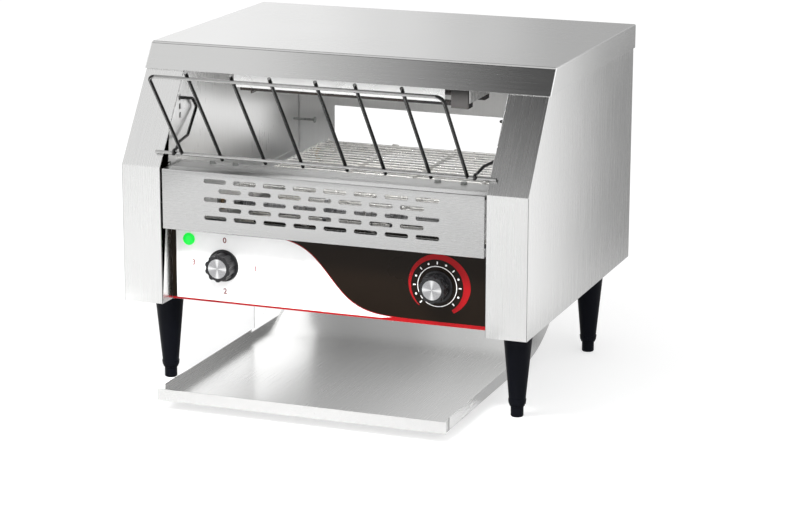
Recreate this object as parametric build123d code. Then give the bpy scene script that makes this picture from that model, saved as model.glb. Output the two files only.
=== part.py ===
from build123d import *
import math
import os

# Conveyor toaster: folded sheet-steel casing on four legs, wire loading rack in front,
# flat-flex wire belt between an upper and a lower heater, toast slide underneath.
# Millimetres. While it is built, y = 0 is the front of the two columns and z = 0 the table.

# Overall sizes
lid_width = 480.0
height = 385.0
body_depth = 400.0
overall_depth = 420.0  # columns to the tip of the cord gland
base_height = 103.0  # underside of the base plate above the table

# Sheet metal and general clearances
sheet = 1.2
lid_gap = 0.8  # lid lip to casing
seam_gap = 0.2  # between two fixed sheets
run_gap = 0.05  # radial, shaft in bush
slide_gap = 0.4  # sliding or turning piece to its neighbour

# Casing
column_width = 47.0
bend_height = 259.5  # the front leans back above this
lean = 34.8  # degrees from the vertical
lid_lip = 28.0
casing_drop = 0.5  # casing edge below the base plate
rear_flange = 12.0
gland_inset = 30.0  # gland's centre in from the casing's side
gland_z = 128.0
gland_hole_r = 8.0
gland_bore_r = 4.2
gland_flange_r = 12.0
gland_neck_r = 9.5
gland_thread = 14.0  # behind the rear panel
gland_nut = 4.0
gland_chamfer = 1.5
gland_flange_share = 0.3  # of what stands out behind the casing
louvre_inset = 22.0  # cooling slots, outwards from the chamber wall
louvre_length = 28.0
louvre_height = 4.0
louvre_rows = 5
louvre_pitch = 12.0
louvre_first = 190.0
floor_slot_length = 70.0
floor_slot_width = 6.0
floor_slots = 6
floor_slot_pitch = 30.0
floor_slot_y = 150.0
floor_edge_over = 30.0  # folded edge past the back legs

# Control recess and vented panel
recess = 26.0
vent_setback = 0.6
vent_side_gap = 2.2
ledge_return = 20.0  # control panel's ledge, folded back
vent_bottom = 189.5
vent_ledge = 18.0
ledge_drop = 1.2  # ledge below the bend
apron_end = 60.0
apron_skirt = 17.0
apron_screw_gaps = (41.0, 69.0, 73.0, 43.0)  # in from the chamber walls, two on each side
apron_screw_r = 4.0
apron_screw_height = 3.2
apron_screw_back = 9.0
slot_length = 27.0
slot_height = 5.0
slot_pitch = 35.6
slot_row_pitch = 10.4
slot_rows = (8, 7, 8, 7, 8)
slot_top_row = 248.4
overlay_thickness = 0.4

# Controls
knob_inset = 64.0  # knob's centre in from the column
knob_z = 147.0
knob_height = 17.5
knob_grip_r = 15.7
knob_base_r = 18.4
knob_flutes = 10
knob_flute_depth = 1.5
knob_skirt = 2.2
knob_front_chamfer = 0.8
knob_cap_depth = 5.0  # solid front behind the cap
pointer_width = 1.8
cap_r = 11.0
cap_thickness = 1.2
spindle_r = 3.0
spindle_back = 40.0
lamp_inset = 22.0  # lamp's centre in from the left column
lamp_z = 174.0
lamp_r = 7.0
lamp_out = 4.5
lamp_chamfer = 1.2
lamp_body_length = 26.0  # behind the panel
lamp_nut = 4.0
lamp_nut_r = 8.5
switch_width = 42.0
switch_depth = 34.0
regulator_width = 34.0
regulator_depth = 26.0
body_chamfer = 4.0  # switch and regulator
body_lug = 8.0

# Conveyor
belt_gap_left = 53.0  # chamber wall to belt
belt_gap_right = 69.0
belt_pitch = 12.7
belt_wire_r = 1.1
sprocket_teeth = 8
belt_pitches = 22  # between the shafts
rear_shaft_y = 357.0
shaft_z = 206.8
shaft_r = 4.0
joint_columns = (-40.0, 40.0)  # from the belt's middle
joint_half_width = 5.5
joint_taper = 2.5
joint_rise = 2.5
sprocket_left = 18.0  # in from the belt's left edge
sprocket_middle = -12.0  # from the belt's middle
sprocket_right = 62.0  # in from the belt's right edge
sprocket_width = 4.0
tooth_rise = 0.6  # tooth's tip past the belt wires' middle
hub_width = 10.0
hub_r = 8.5
rail_clearance = 12.0  # belt edge to side rail
rail_top = 219.0
rail_bottom = 193.0
rail_front_over = 14.0  # rail in front of the front shaft
rail_back_gap = 18.0  # rail to rear panel
shaft_over = 4.0  # shaft past the rail
shaft_end_gap = 8.0  # drive shaft's end to the chamber wall
bush_r = 6.0
bush_flange_r = 8.5
bush_flange = 1.5
bush_end = 1.0  # bush past the rail

# Heaters
hood_setback = 20.5  # hood's front behind the leaning front
hood_back = 330.0
hood_gap_left = 46.0  # chamber wall to hood
hood_gap_right = 54.0
hood_bottom = 336.0
hood_top = 371.0
element_r = 3.25
upper_element_z = 334.6
lower_element_z = 176.0
element_rows = 4
upper_first = 6.5  # first element behind the hood's front
upper_pitch = 56.0
lower_first = 28.0  # first element behind the reflector's front
lower_pitch = 52.0
upper_block = (20.0, 15.0, 22.0)
lower_block = 14.0
lower_block_inset = 8.0
hanger_inset = 20.0
block_drop = 4.5  # block below the middle of its element
block_end = 6.0  # closed end of a block
element_left_gap = 6.0  # hood's left end to the elements
element_seat_r = 4.0  # six-sided seat, to its corners
hood_notch = 29.0
hood_notch_height = 20.0
reflector_z = 166.0
reflector_front = 92.0
reflector_back = 334.0
reflector_rim = 16.0

# Rear outlet and toast drop
outlet_margin = 5.0  # outlet wider than the belt, each side
outlet_bottom = 216.0
outlet_top = 261.0
drop_front = 336.0
slide_radius = 173.0
slide_centre = (219.0, 183.0)  # y and z of the curve's centre
deflector_top = 205.0
deflector_gap = 31.0  # chamber wall to the guide

# Toast slide
tray_leg_gap = 42.0  # tray's side to the legs' centres
tray_front = -61.5
tray_bottom = 10.0
tray_lip = 14.5
tray_flange = 13.5
tray_flange_over = 1.5  # front flange past the sides
tray_notch = 15.0  # side lip starts this far behind the front flange
cheek_front = 199.0
cheek_top = 99.5
cheek_flange = 10.0
slide_rail_front = 200.0
slide_rail_gap = 2.0  # rail to the slide's side and flange
slide_rail_foot = 9.0

# Loading rack
wire_sides = 8
rack_wire_r = 2.0
rack_bar_z = 275.2
rack_length = 129.0
rack_angle = 51.4  # degrees above the horizontal
rack_gap = 24.0  # rack's frame to the chamber wall
rack_bar_over = 8.3  # cross bar past the chamber wall, onto the column
rack_wide_gap = 52.0
rack_narrow_gap = 44.5
rack_corner_r = 8.0
rack_overhang_top = 6.0
rack_overhang_bottom = 10.0
rack_weld = 0.6  # rods sunk into the frame
stay_wire_r = 1.75
stay_gap = 3.5  # upper part of the stay to the chamber wall
stay_foot_gap = 15.0
stay_grip_gap = 0.15  # stay to cross bar
stay_tail = 1.5  # below the cross bar
stay_elbow = (3.0, -29.0, -44.0)  # x from the foot, y and z from the hook
stay_knee = (8.0, 4.0, -43.0)
stay_crest = (36.0, -16.0)  # y and z from the hook
stay_nose = (25.0, -5.0)
stay_through = 4.0  # hook past the chamber wall
hook_inset = 6.54  # hook slots behind the leaning front
hook_z = 328.5
hook_slots = 3
hook_slot_pitch = 10.0
hook_slot_width = 4.6
hook_slot_height = 6.6

# Legs
leg_inset = 28.0  # leg's centre in from the casing's side
leg_front_y = 57.0
leg_back_y = 328.5
leg_top_r = 17.0
leg_bottom_r = 9.6
leg_flange_r = 20.0
leg_flange = 2.5
leg_sides = 16
foot_r = 7.25
foot_height = 12.0
foot_sides = 12
foot_chamfer = 0.8
foot_stud_r = 4.0
foot_stud_length = 36.0
leg_stud_r = 4.0
leg_stud_length = 12.0
nut_r = 7.2
nut_height = 6.0

# Motor
gearbox_size = 58.0
gearbox_depth = 15.0
gearbox_trim = 4.0  # shorter than square, at each end
motor_r = 24.0
motor_depth = 17.0
motor_standoff = 7.0
motor_drop = 14.0  # motor's middle in front of the drive shaft
spacer_inset = 6.0
spacer_r = 4.0
coupling_r = 7.0
coupling_clearance = 1.5

# Fasteners and wiring
rear_screw_r = 3.8
rear_screw_height = 2.2
rear_screw_heights = (135.0, 205.0, 275.0, 345.0)
terminal_ways = 3
terminal_pitch = 10.0
terminal_size = (36.0, 40.0, 16.0)
terminal_y = 250.0
terminal_gland_gap = 22.0
pin_r = 1.7
pin_head_r = 4.0
pin_head = 1.5
pin_length = 29.0
pin_y = 380.0
pin_z = 244.5

# Worked out from the sizes above
casing_x = lid_width / 2 - sheet - lid_gap
column_x = casing_x - column_width
casing_back = body_depth - sheet - lid_gap
casing_bottom = base_height - casing_drop
casing_top = height - sheet - seam_gap
lean_tan = math.tan(math.radians(lean))
lean_cos = math.cos(math.radians(lean))
lid_lip_z = height - lid_lip
wall_x = column_x
wall_top = hood_top + 2 * sheet + 2 * seam_gap
gland_x = casing_x - gland_inset
leg_x = casing_x - leg_inset
knob_x = column_x - knob_inset
lamp_x = lamp_inset - column_x
panel_front = recess + overlay_thickness + seam_gap / 2
panel_back = panel_front + sheet
return_depth = recess
rear_panel_front = casing_back - sheet
pitch_r = belt_pitch / (2 * math.sin(math.pi / sprocket_teeth))
front_shaft_y = rear_shaft_y - belt_pitches * belt_pitch
belt_left = belt_gap_left - wall_x
belt_right = wall_x - belt_gap_right
belt_width = belt_right - belt_left
conveyor_x = (belt_left + belt_right) / 2
sprocket_places = (belt_left + sprocket_left, conveyor_x + sprocket_middle, belt_right - sprocket_right)
rail_left = belt_left - rail_clearance
rail_right = belt_right + rail_clearance
outlet_half_width = belt_width / 2 + outlet_margin
base_top = base_height + sheet
ledge_top = bend_height - ledge_drop
apron_top = ledge_top - sheet - seam_gap
vent_x = column_x - vent_side_gap
hook_y = (hook_z - bend_height) * lean_tan + hook_inset
hood_front = (wall_top - bend_height) * lean_tan + hood_setback
hood_left = hood_gap_left - wall_x
hood_right = wall_x - hood_gap_right
upper_rows = [hood_front + upper_first + n * upper_pitch for n in range(element_rows)]
lower_rows = [reflector_front + lower_first + n * lower_pitch for n in range(element_rows)]
deflector_half_width = wall_x - deflector_gap
tray_half_width = leg_x - tray_leg_gap
rack_half_width = wall_x - rack_gap
rack_bar_half = wall_x + rack_bar_over
stay_x = wall_x - stay_gap
stay_foot_x = wall_x - stay_foot_gap
rack_y = (rack_bar_z - bend_height) * lean_tan - (rack_wire_r + slide_gap) / lean_cos
rack_dir = (-math.cos(math.radians(rack_angle)), math.sin(math.radians(rack_angle)))
rack_top_y = rack_y + rack_length * rack_dir[0]
slide_rail_back = slide_centre[0] + slide_radius * 0.86
tooth_angle = 360 / sprocket_teeth

# The origin is the middle of the footprint, on the table
footprint_front = rack_top_y - rack_wire_r
footprint_middle = (footprint_front + overall_depth) / 2


def block(x, y, z):
    """Box between two corners, each axis given as (low, high)."""
    low, high = zip(*(sorted(pair) for pair in (x, y, z)))
    size = [b - a for a, b in zip(low, high)]
    return Pos(*low) * Box(*size, align=(Align.MIN, Align.MIN, Align.MIN))


def side_profile(points, x):
    """Outline of (y, z) points, extruded between the two x values."""
    outline = Plane.YZ.offset(min(x)) * Polygon(*points, align=None)
    return extrude(outline, abs(x[1] - x[0]), dir=(1, 0, 0))


def rod(start, end, radius):
    """Round rod between two points."""
    line = Vector(*end) - Vector(*start)
    plane = Plane(origin=start, z_dir=line)
    return extrude(plane * Circle(radius), line.length)


def along_x(x, y, z, radius):
    """Round bar along x, centred on y and z."""
    return rod((x[0], y, z), (x[1], y, z), radius)


def along_y(y, x, z, radius):
    """Round bar along y, centred on x and z."""
    return rod((x, y[0], z), (x, y[1], z), radius)


def kinked_wire(points, radius, sides):
    """Wire along straight runs, bent sharply where they meet; flat-sided, measured to its corners."""
    path = Polyline(*points)
    section = Plane(origin=path @ 0, z_dir=path % 0) * RegularPolygon(radius, sides)
    return sweep(section, path, transition=Transition.RIGHT)


def slot_outline(length, width, rotation=0):
    """Slot whose ends are cut to half an octagon."""
    corner = width * (1 - math.sqrt(0.5))
    return chamfer(Rectangle(length, width, rotation=rotation).vertices(), corner)


def six_sided(x, y, z, radius):
    """Six-sided bar along x, radius measured to its corners, centred on y and z."""
    section = Plane.YZ.offset(min(x)) * Pos(y, z) * RegularPolygon(radius, 6)
    return extrude(section, abs(x[1] - x[0]), dir=(1, 0, 0))


def eight_sided(y, x, z, radius):
    """Eight-sided bar along y, radius measured to its corners, centred on x and z."""
    section = Plane.XZ.offset(-y[0]) * Pos(x, z) * RegularPolygon(radius, 8)
    return extrude(section, y[1] - y[0], dir=(0, 1, 0))


def slant_y(z, inset=0.0):
    """y of the leaning front at a height, moved inwards along its normal."""
    return (z - bend_height) * lean_tan + inset / lean_cos


def both_sides(right):
    """A right-hand piece and its mirror image on the left."""
    return right, mirror(right, about=Plane.YZ)


# ---------------------------------------------------------------- casing


def casing_outline(inset, top, bottom, back):
    """Side outline of the casing, its front edges moved in by a sheet's thickness."""
    corner = bend_height + inset * (1 - 1 / lean_cos) / lean_tan
    return [(inset, bottom), (inset, corner), (slant_y(top, inset), top), (back, top), (back, bottom)]


def make_side_casing():
    """Right-hand side, column front and leaning front, folded from one sheet."""
    shell = side_profile(casing_outline(0, casing_top, casing_bottom, casing_back), (column_x, casing_x))
    hollow = casing_outline(sheet, height + 50, 0, body_depth + 50)
    shell -= side_profile(hollow, (column_x + sheet, casing_x - sheet))
    inner = (column_x - 1, column_x + sheet)
    shell -= block(inner, (return_depth, body_depth), (0, height))
    above = [(slant_y(z, sheet), z) for z in (bend_height, height)]
    above += [(body_depth, height), (body_depth, bend_height)]
    shell -= side_profile(above, inner)
    flange_x = (casing_x - sheet - rear_flange, casing_x - sheet)
    flange_y = (rear_panel_front - sheet - seam_gap, rear_panel_front - seam_gap)
    flange = block(flange_x, flange_y, (base_top + rear_flange, casing_top - rear_flange))
    return shell + flange


def make_chamber_wall():
    """Right-hand wall of the toasting chamber, slotted for the rack stays."""
    front = panel_back + seam_gap
    gap = sheet + seam_gap
    bottom = reflector_z - rear_flange
    outline = [
        (front, bottom),
        (front, bend_height + gap),
        (slant_y(bend_height + gap, gap), bend_height + gap),
        (slant_y(wall_top, gap), wall_top),
        (rear_panel_front - 2 * seam_gap - sheet, wall_top),
        (rear_panel_front - 2 * seam_gap - sheet, bottom),
    ]
    wall = side_profile(outline, (wall_x, wall_x + sheet))
    ledge_z = (hood_top + sheet + seam_gap, hood_top + 2 * sheet + seam_gap)
    wall += block((wall_x - rear_flange, wall_x), (hood_front, hood_back), ledge_z)
    foot_z = (bottom, bottom + sheet)
    wall += block((wall_x + sheet, wall_x + rear_flange), (front, reflector_back), foot_z)
    for step in range(hook_slots):
        z = hook_z - step * hook_slot_pitch
        slot = Plane.YZ.offset(wall_x) * Pos(hook_y, z) * Rectangle(hook_slot_width, hook_slot_height)
        wall -= extrude(slot, 2 * sheet, both=True)
    return wall


def make_right_chamber_wall():
    """The right wall also lets the drive coupling through."""
    x = (wall_x - sheet, wall_x + 2 * sheet)
    return make_chamber_wall() - along_x(x, rear_shaft_y, shaft_z, coupling_r + coupling_clearance)


def make_top_cover():
    """Lid with lips all round; its front lip follows the leaning front."""
    out = sheet + seam_gap
    outer = [
        (slant_y(lid_lip_z, -out), lid_lip_z),
        (slant_y(height, -out), height),
        (body_depth, height),
        (body_depth, lid_lip_z),
    ]
    inner = [
        (slant_y(lid_lip_z - 5, -seam_gap), lid_lip_z - 5),
        (slant_y(height - sheet, -seam_gap), height - sheet),
        (body_depth - sheet, height - sheet),
        (body_depth - sheet, lid_lip_z - 5),
    ]
    half = lid_width / 2
    lid = side_profile(outer, (-half, half))
    return lid - side_profile(inner, (-half + sheet, half - sheet))


def louvre_centres():
    """Cooling slots of the rear panel, in two stacks."""
    for side in (-1, 1):
        for row in range(louvre_rows):
            yield side * (column_x + louvre_inset), louvre_first + louvre_pitch * row


def make_rear_panel():
    """Back sheet with the rear outlet, cooling slots and the cord gland's hole."""
    half = casing_x - sheet - seam_gap
    y = (rear_panel_front, casing_back)
    panel = block((-half, half), y, (base_top + seam_gap, casing_top - seam_gap))
    outlet = (conveyor_x - outlet_half_width, conveyor_x + outlet_half_width)
    panel -= block(outlet, (y[0] - 1, y[1] + 1), (outlet_bottom, outlet_top))
    for x, z in louvre_centres():
        slot = Pos(x, z) * slot_outline(louvre_length, louvre_height)
        panel -= extrude(Plane.XZ.offset(-casing_back) * slot, 2 * sheet, both=True)
    return panel - along_y((y[0] - 1, y[1] + 1), gland_x, gland_z, gland_hole_r)


def make_cord_gland():
    """Gland for the supply cord: flange and clamping neck outside, thread and nut inside."""
    tip = overall_depth - casing_back
    thread = gland_hole_r - run_gap
    body = Pos(0, 0, -gland_thread / 2) * Cylinder(thread, gland_thread)
    flange = gland_flange_share * tip
    body += extrude(RegularPolygon(gland_flange_r, 6), flange)
    neck = extrude(Plane.XY.offset(flange) * RegularPolygon(gland_neck_r, 12), tip - flange)
    body += chamfer(neck.faces().sort_by(Axis.Z)[-1].edges(), gland_chamfer)
    body += Pos(0, 0, -sheet - seam_gap - gland_nut) * extrude(RegularPolygon(gland_flange_r, 6), gland_nut)
    body -= Cylinder(gland_bore_r, 2 * (tip + gland_thread))
    return Pos(gland_x, casing_back, gland_z) * Rot(-90, 0, 0) * body


def leg_places():
    """Centres of the four legs."""
    for side, x in (("left", -leg_x), ("right", leg_x)):
        for end, y in (("front", leg_front_y), ("back", leg_back_y)):
            yield f"{end}_{side}", x, y


def make_base_plate():
    """Floor of the body: recess for the controls, opening where the toast drops."""
    half = casing_x - sheet - seam_gap
    back = rear_panel_front - seam_gap - sheet - seam_gap
    z = (base_height, base_top)
    plate = block((-half, half), (sheet + seam_gap, back), z)
    inner = column_x + sheet + seam_gap
    plate -= block((-inner, inner), (0, panel_back + seam_gap), (0, height))
    rib = panel_back + seam_gap
    plate += block((-inner, inner), (rib, rib + sheet), (z[0], z[0] + rear_flange))
    for x in (-half, half):
        edge = (x, x - math.copysign(sheet, x))
        plate += block(edge, (column_width, leg_back_y + floor_edge_over), (z[0], z[0] + rear_flange))
    drop = deflector_half_width + 2
    plate -= block((-drop, drop), (drop_front, back - rear_flange / 3), (0, height))
    for _, x, y in leg_places():
        plate -= Pos(x, y, 0) * extrude(RegularPolygon(leg_stud_r + 2 * slide_gap, 8), height)
    for n in range(floor_slots):
        x = (n - (floor_slots - 1) / 2) * floor_slot_pitch
        slot = Pos(x, floor_slot_y) * slot_outline(floor_slot_length, floor_slot_width, rotation=90)
        plate -= extrude(Plane.XY.offset(base_height) * slot, 2 * sheet, both=True)
    return plate


# ---------------------------------------------------------------- front panels


def vent_slot_centres():
    """Staggered rows of slots."""
    for row, count in enumerate(slot_rows):
        for n in range(count):
            yield (n - (count - 1) / 2) * slot_pitch, slot_top_row - row * slot_row_pitch


def make_vent_panel():
    """Slotted front panel with a ledge folded back at the top and at the bottom."""
    x = (-vent_x, vent_x)
    front = (vent_setback, vent_setback + sheet)
    panel = block(x, front, (vent_bottom, ledge_top))
    panel += block(x, (vent_setback, vent_ledge), (ledge_top - sheet, ledge_top))
    panel += block(x, (vent_setback, panel_back), (vent_bottom, vent_bottom + sheet))
    for cx, cz in vent_slot_centres():
        slot = Plane.XZ.offset(-vent_setback) * Pos(cx, cz) * slot_outline(slot_length, slot_height)
        panel -= extrude(slot, 2 * sheet, both=True)
    return panel


def make_apron():
    """Shelf behind the ledge, with a skirt in front of the belt."""
    x = (-vent_x, vent_x)
    top = (apron_top - sheet, apron_top)
    shelf = block(x, (vent_setback + 2 * sheet, apron_end), top)
    return shelf + block(x, (apron_end - sheet, apron_end), (apron_top - apron_skirt, apron_top))


def make_apron_screws():
    """Hexagon screws that hold the shelf down at its back edge."""
    screws = []
    for n, gap in enumerate(apron_screw_gaps):
        x = gap - wall_x if n < len(apron_screw_gaps) / 2 else wall_x - gap
        head = extrude(RegularPolygon(apron_screw_r, 6), apron_screw_height)
        screws.append(Pos(x, apron_end - apron_screw_back, apron_top) * head)
    return Compound(children=screws)


def control_holes(part, y):
    """Cuts the eight-sided spindle holes and lamp hole."""
    for x in (-knob_x, knob_x):
        part -= eight_sided(y, x, knob_z, spindle_r + 1)
    return part - eight_sided(y, lamp_x, lamp_z, lamp_r - 1)


def make_control_panel():
    """Sheet behind the printed overlay, with a ledge folded back at the top."""
    x = (-column_x + seam_gap * 2, column_x - seam_gap * 2)
    z = (base_height, vent_bottom - seam_gap)
    panel = block(x, (panel_front, panel_back), z)
    panel += block(x, (panel_front, panel_front + ledge_return), (z[1] - sheet, z[1]))
    return control_holes(panel, (panel_front - 1, panel_back + 1))


def make_control_overlay():
    """Thin printed facing of the control panel."""
    x = (-column_x + seam_gap * 2, column_x - seam_gap * 2)
    facing = block(x, (recess, recess + overlay_thickness), (base_height, vent_bottom - seam_gap))
    return control_holes(facing, (recess - 1, recess + 1))


# ---------------------------------------------------------------- controls


def knob_outline():
    """Round grip with flat-bottomed flutes."""
    valley = knob_grip_r - knob_flute_depth
    step = 360 / knob_flutes
    points = []
    for n in range(knob_flutes):
        corners = ((-0.22, knob_grip_r), (0.22, knob_grip_r), (0.34, valley), (0.66, valley))
        for share, radius in corners:
            angle = math.radians(90 + (n + share) * step)
            points.append((radius * math.cos(angle), radius * math.sin(angle)))
    return points


def make_knob():
    """Fluted grip on a round skirt, drilled for its spindle, front face towards -y."""
    grip = extrude(Polygon(*knob_outline(), align=None), knob_height)
    grip = chamfer(grip.faces().sort_by(Axis.Z)[-1].edges(), knob_front_chamfer)
    grip += Cylinder(knob_base_r, knob_skirt, align=(Align.CENTER, Align.CENTER, Align.MIN))
    grip -= Pos(0, 0, knob_height) * Cylinder(cap_r + run_gap, 2 * cap_thickness)
    grip -= Cylinder(spindle_r + run_gap, 2 * (knob_height - knob_cap_depth))
    pointer_y = (cap_r + pointer_width, knob_grip_r - knob_front_chamfer)
    half = pointer_width / 2
    grip += block((-half, half), pointer_y, (knob_height - pointer_width, knob_height + pointer_width / 3))
    return Pos(0, recess - slide_gap, knob_z) * Rot(90, 0, 0) * grip


def make_knob_cap():
    """Bright disc set in the knob's face."""
    front = recess - slide_gap - knob_height
    return along_y((front, front + cap_thickness), 0, knob_z, cap_r)


def make_spindle():
    """Spindle from inside the knob to inside the switch."""
    front = recess - slide_gap - knob_height + knob_cap_depth + 1
    return along_y((front, spindle_back), 0, knob_z, spindle_r)


def make_control_body(width, depth):
    """Switch or regulator body with a threaded neck, behind the panel."""
    y = (panel_back + seam_gap, panel_back + seam_gap + depth)
    half = width / 2
    body = block((-half, half), y, (knob_z - half, knob_z + half))
    body = chamfer(body.edges().filter_by(Axis.Y), body_chamfer)
    lug_z = (knob_z + half * 0.2, knob_z + half * 0.6)
    body += block((-half * 0.6, half * 0.6), (y[1], y[1] + body_lug), lug_z)
    bore = along_y((0, spindle_back + 1), 0, knob_z, spindle_r + run_gap)
    return body - bore


def make_lamp_lens():
    """Round lens that stands out of the panel."""
    lens = Cylinder(lamp_r, lamp_out, align=(Align.CENTER, Align.CENTER, Align.MIN))
    lens = chamfer(lens.edges().group_by(Axis.Z)[-1], lamp_chamfer)
    return Pos(lamp_x, recess - seam_gap / 2, lamp_z) * Rot(90, 0, 0) * lens


def make_lamp_body():
    """Lamp holder: neck through the panel, nut and long body behind it."""
    front = recess + overlay_thickness / 2
    back = panel_back + seam_gap
    body = eight_sided((front, back + lamp_body_length), lamp_x, lamp_z, lamp_r - 1 - seam_gap)
    return body + eight_sided((back, back + lamp_nut), lamp_x, lamp_z, lamp_nut_r)


# ---------------------------------------------------------------- conveyor


def strand_path(with_joints):
    """Path of one belt strand, running along x, with a hairpin at each joint column."""
    half = belt_width / 2
    if not with_joints:
        return [(-half, 0, 0), (half, 0, 0)]
    points = [(-half + joint_taper, -belt_pitch, joint_rise), (-half, 0, 0)]
    for x in joint_columns:
        near = joint_half_width
        far = joint_half_width - joint_taper
        points += [(x - near, 0, 0), (x - far, -belt_pitch, joint_rise)]
        points += [(x + far, -belt_pitch, joint_rise), (x + near, 0, 0)]
    points += [(half, 0, 0), (half - joint_taper, -belt_pitch, joint_rise)]
    return points


def make_strand(with_joints=True):
    """One belt strand of square wire at the origin; its hairpins reach back over the next."""
    return Pos(conveyor_x, 0, 0) * kinked_wire(strand_path(with_joints), belt_wire_r, 4)


def strand_on_wrap(strand, y, angle, tilt):
    """Strand carried round a sprocket, at an angle from the top towards the back."""
    tilted = Pos(0, 0, pitch_r) * Rot(tilt, 0, 0) * strand
    return Pos(0, y, shaft_z) * Rot(-angle, 0, 0) * tilted


def make_belt_upper_run(strand):
    """Strands of the upper run, from the front sprocket's top to one pitch before the back's."""
    z = shaft_z + pitch_r
    places = [front_shaft_y + n * belt_pitch for n in range(belt_pitches)]
    return Compound(children=[Pos(0, y, z) * strand for y in places])


def make_belt_lower_run(strand):
    """Strands of the lower run, upside down and running forwards."""
    z = shaft_z - pitch_r
    upside = Rot(180, 0, 0) * strand
    places = [rear_shaft_y - n * belt_pitch for n in range(belt_pitches)]
    return Compound(children=[Pos(0, y, z) * upside for y in places])


def make_belt_wrap(strand, plain, y, first_angle):
    """The strands that lie round one sprocket, half a turn of them."""
    tilt = tooth_angle / 2
    strands = [strand_on_wrap(plain, y, first_angle, 0)]
    for n in range(1, sprocket_teeth // 2):
        strands.append(strand_on_wrap(strand, y, first_angle + n * tooth_angle, tilt))
    return Compound(children=strands)


def sprocket_outline():
    """Toothed outline: each gullet is a flat seat with two flanks, each tooth a flat tip."""
    seat_r = pitch_r - belt_wire_r - slide_gap
    tip_r = pitch_r + tooth_rise
    points = []
    for tooth in range(sprocket_teeth):
        middle = tooth * tooth_angle
        for offset, radius in ((-0.36, tip_r), (-0.14, seat_r), (0.14, seat_r), (0.36, tip_r)):
            angle = math.radians(90 - middle - offset * tooth_angle)
            points.append((radius * math.cos(angle), radius * math.sin(angle)))
    return points


def make_sprockets(y):
    """Three toothed wheels on one shaft, each with an eight-sided hub."""
    outline = Polygon(*sprocket_outline(), align=None) - Circle(shaft_r + run_gap)
    hub = RegularPolygon(hub_r, 8) - Circle(shaft_r + run_gap)
    wheels = []
    for x in sprocket_places:
        side = Plane.YZ.offset(x - sprocket_width / 2)
        wheel = extrude(side * outline, sprocket_width, dir=(1, 0, 0))
        wheel += extrude(side * hub, hub_width, dir=(1, 0, 0))
        wheels.append(Pos(0, y, shaft_z) * wheel)
    return Compound(children=wheels)


def make_front_shaft():
    """Idler shaft between the side rails."""
    return along_x((rail_left - shaft_over, rail_right + shaft_over), front_shaft_y, shaft_z, shaft_r)


def make_rear_shaft():
    """Drive shaft, long enough on the right to reach the coupling."""
    return along_x((rail_left - shaft_over, wall_x - shaft_end_gap), rear_shaft_y, shaft_z, shaft_r)


def make_coupling():
    """Sleeve that joins the drive shaft to the gearbox shaft."""
    x = (wall_x - 2 * shaft_end_gap, wall_x + sheet + motor_standoff - 1)
    sleeve = six_sided(x, rear_shaft_y, shaft_z, coupling_r)
    return sleeve - along_x((x[0] - 1, x[1] + 1), rear_shaft_y, shaft_z, shaft_r + run_gap)


def make_gearbox_shaft():
    """Output shaft of the gearbox, in line with the drive shaft."""
    x = wall_x + sheet + motor_standoff
    return along_x((wall_x - shaft_end_gap + 1, x + gearbox_depth / 2), rear_shaft_y, shaft_z, shaft_r)


def make_side_rail(web_x, wall):
    """Z-shaped rail beside the belt, from its web to the chamber wall."""
    inward = math.copysign(sheet, web_x - conveyor_x)
    y = (front_shaft_y - rail_front_over, rear_panel_front - rail_back_gap)
    rail = block((web_x, web_x + inward), y, (rail_bottom, rail_top))
    rail += block((web_x, wall), y, (rail_bottom, rail_bottom + sheet))
    rail += block((wall, wall - inward), y, (rail_bottom, rail_bottom + rear_flange))
    for shaft_y in (front_shaft_y, rear_shaft_y):
        rail -= six_sided((web_x - 2 * sheet, web_x + 2 * sheet), shaft_y, shaft_z, bush_r)
    return rail


def make_right_side_rail():
    """The right rail also lets the drive coupling through its outer edge."""
    rail = make_side_rail(rail_right, wall_x - seam_gap)
    hole = along_x((wall_x - rear_flange, wall_x), rear_shaft_y, shaft_z, coupling_r + coupling_clearance)
    return rail - hole


def make_bushes():
    """Six-sided flanged bushes that carry the two shafts in the side rails."""
    bushes = []
    for web_x in (rail_left, rail_right):
        outward = math.copysign(1, web_x - conveyor_x)
        flange = (web_x - outward * (seam_gap + bush_flange), web_x - outward * seam_gap)
        body = (flange[0], web_x + outward * (sheet + bush_end))
        for y in (front_shaft_y, rear_shaft_y):
            bush = six_sided(body, y, shaft_z, bush_r - run_gap)
            bush += six_sided(flange, y, shaft_z, bush_flange_r)
            bushes.append(bush - along_x((web_x - bush_r, web_x + bush_r), y, shaft_z, shaft_r + run_gap))
    return Compound(children=bushes)


def motor_fixings():
    """Spacer centres of the gearbox, as y and z."""
    reach = gearbox_size / 2 - spacer_inset
    for sy in (-1, 1):
        for sz in (-1, 1):
            yield rear_shaft_y - motor_drop + sy * (reach - spacer_inset), shaft_z + sz * reach


def make_gearbox():
    """Square gearbox on four six-sided spacers, outside the chamber wall."""
    x = (wall_x + sheet + motor_standoff, wall_x + sheet + motor_standoff + gearbox_depth)
    half = gearbox_size / 2
    reach = half - gearbox_trim
    middle = rear_shaft_y - motor_drop
    box = block(x, (middle - reach, middle + reach), (shaft_z - half, shaft_z + half))
    box = chamfer(box.edges().filter_by(Axis.X), spacer_inset)
    for y, z in motor_fixings():
        box += six_sided((wall_x + sheet + seam_gap, x[0]), y, z, spacer_r)
    return box - along_x((x[0] - 1, x[0] + gearbox_depth / 2 + 1), rear_shaft_y, shaft_z, shaft_r + run_gap)


def make_motor():
    """Flat motor can on the back of the gearbox."""
    start = wall_x + sheet + motor_standoff + gearbox_depth + seam_gap
    return along_x((start, start + motor_depth), rear_shaft_y - motor_drop, shaft_z, motor_r)


# ---------------------------------------------------------------- heaters


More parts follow.
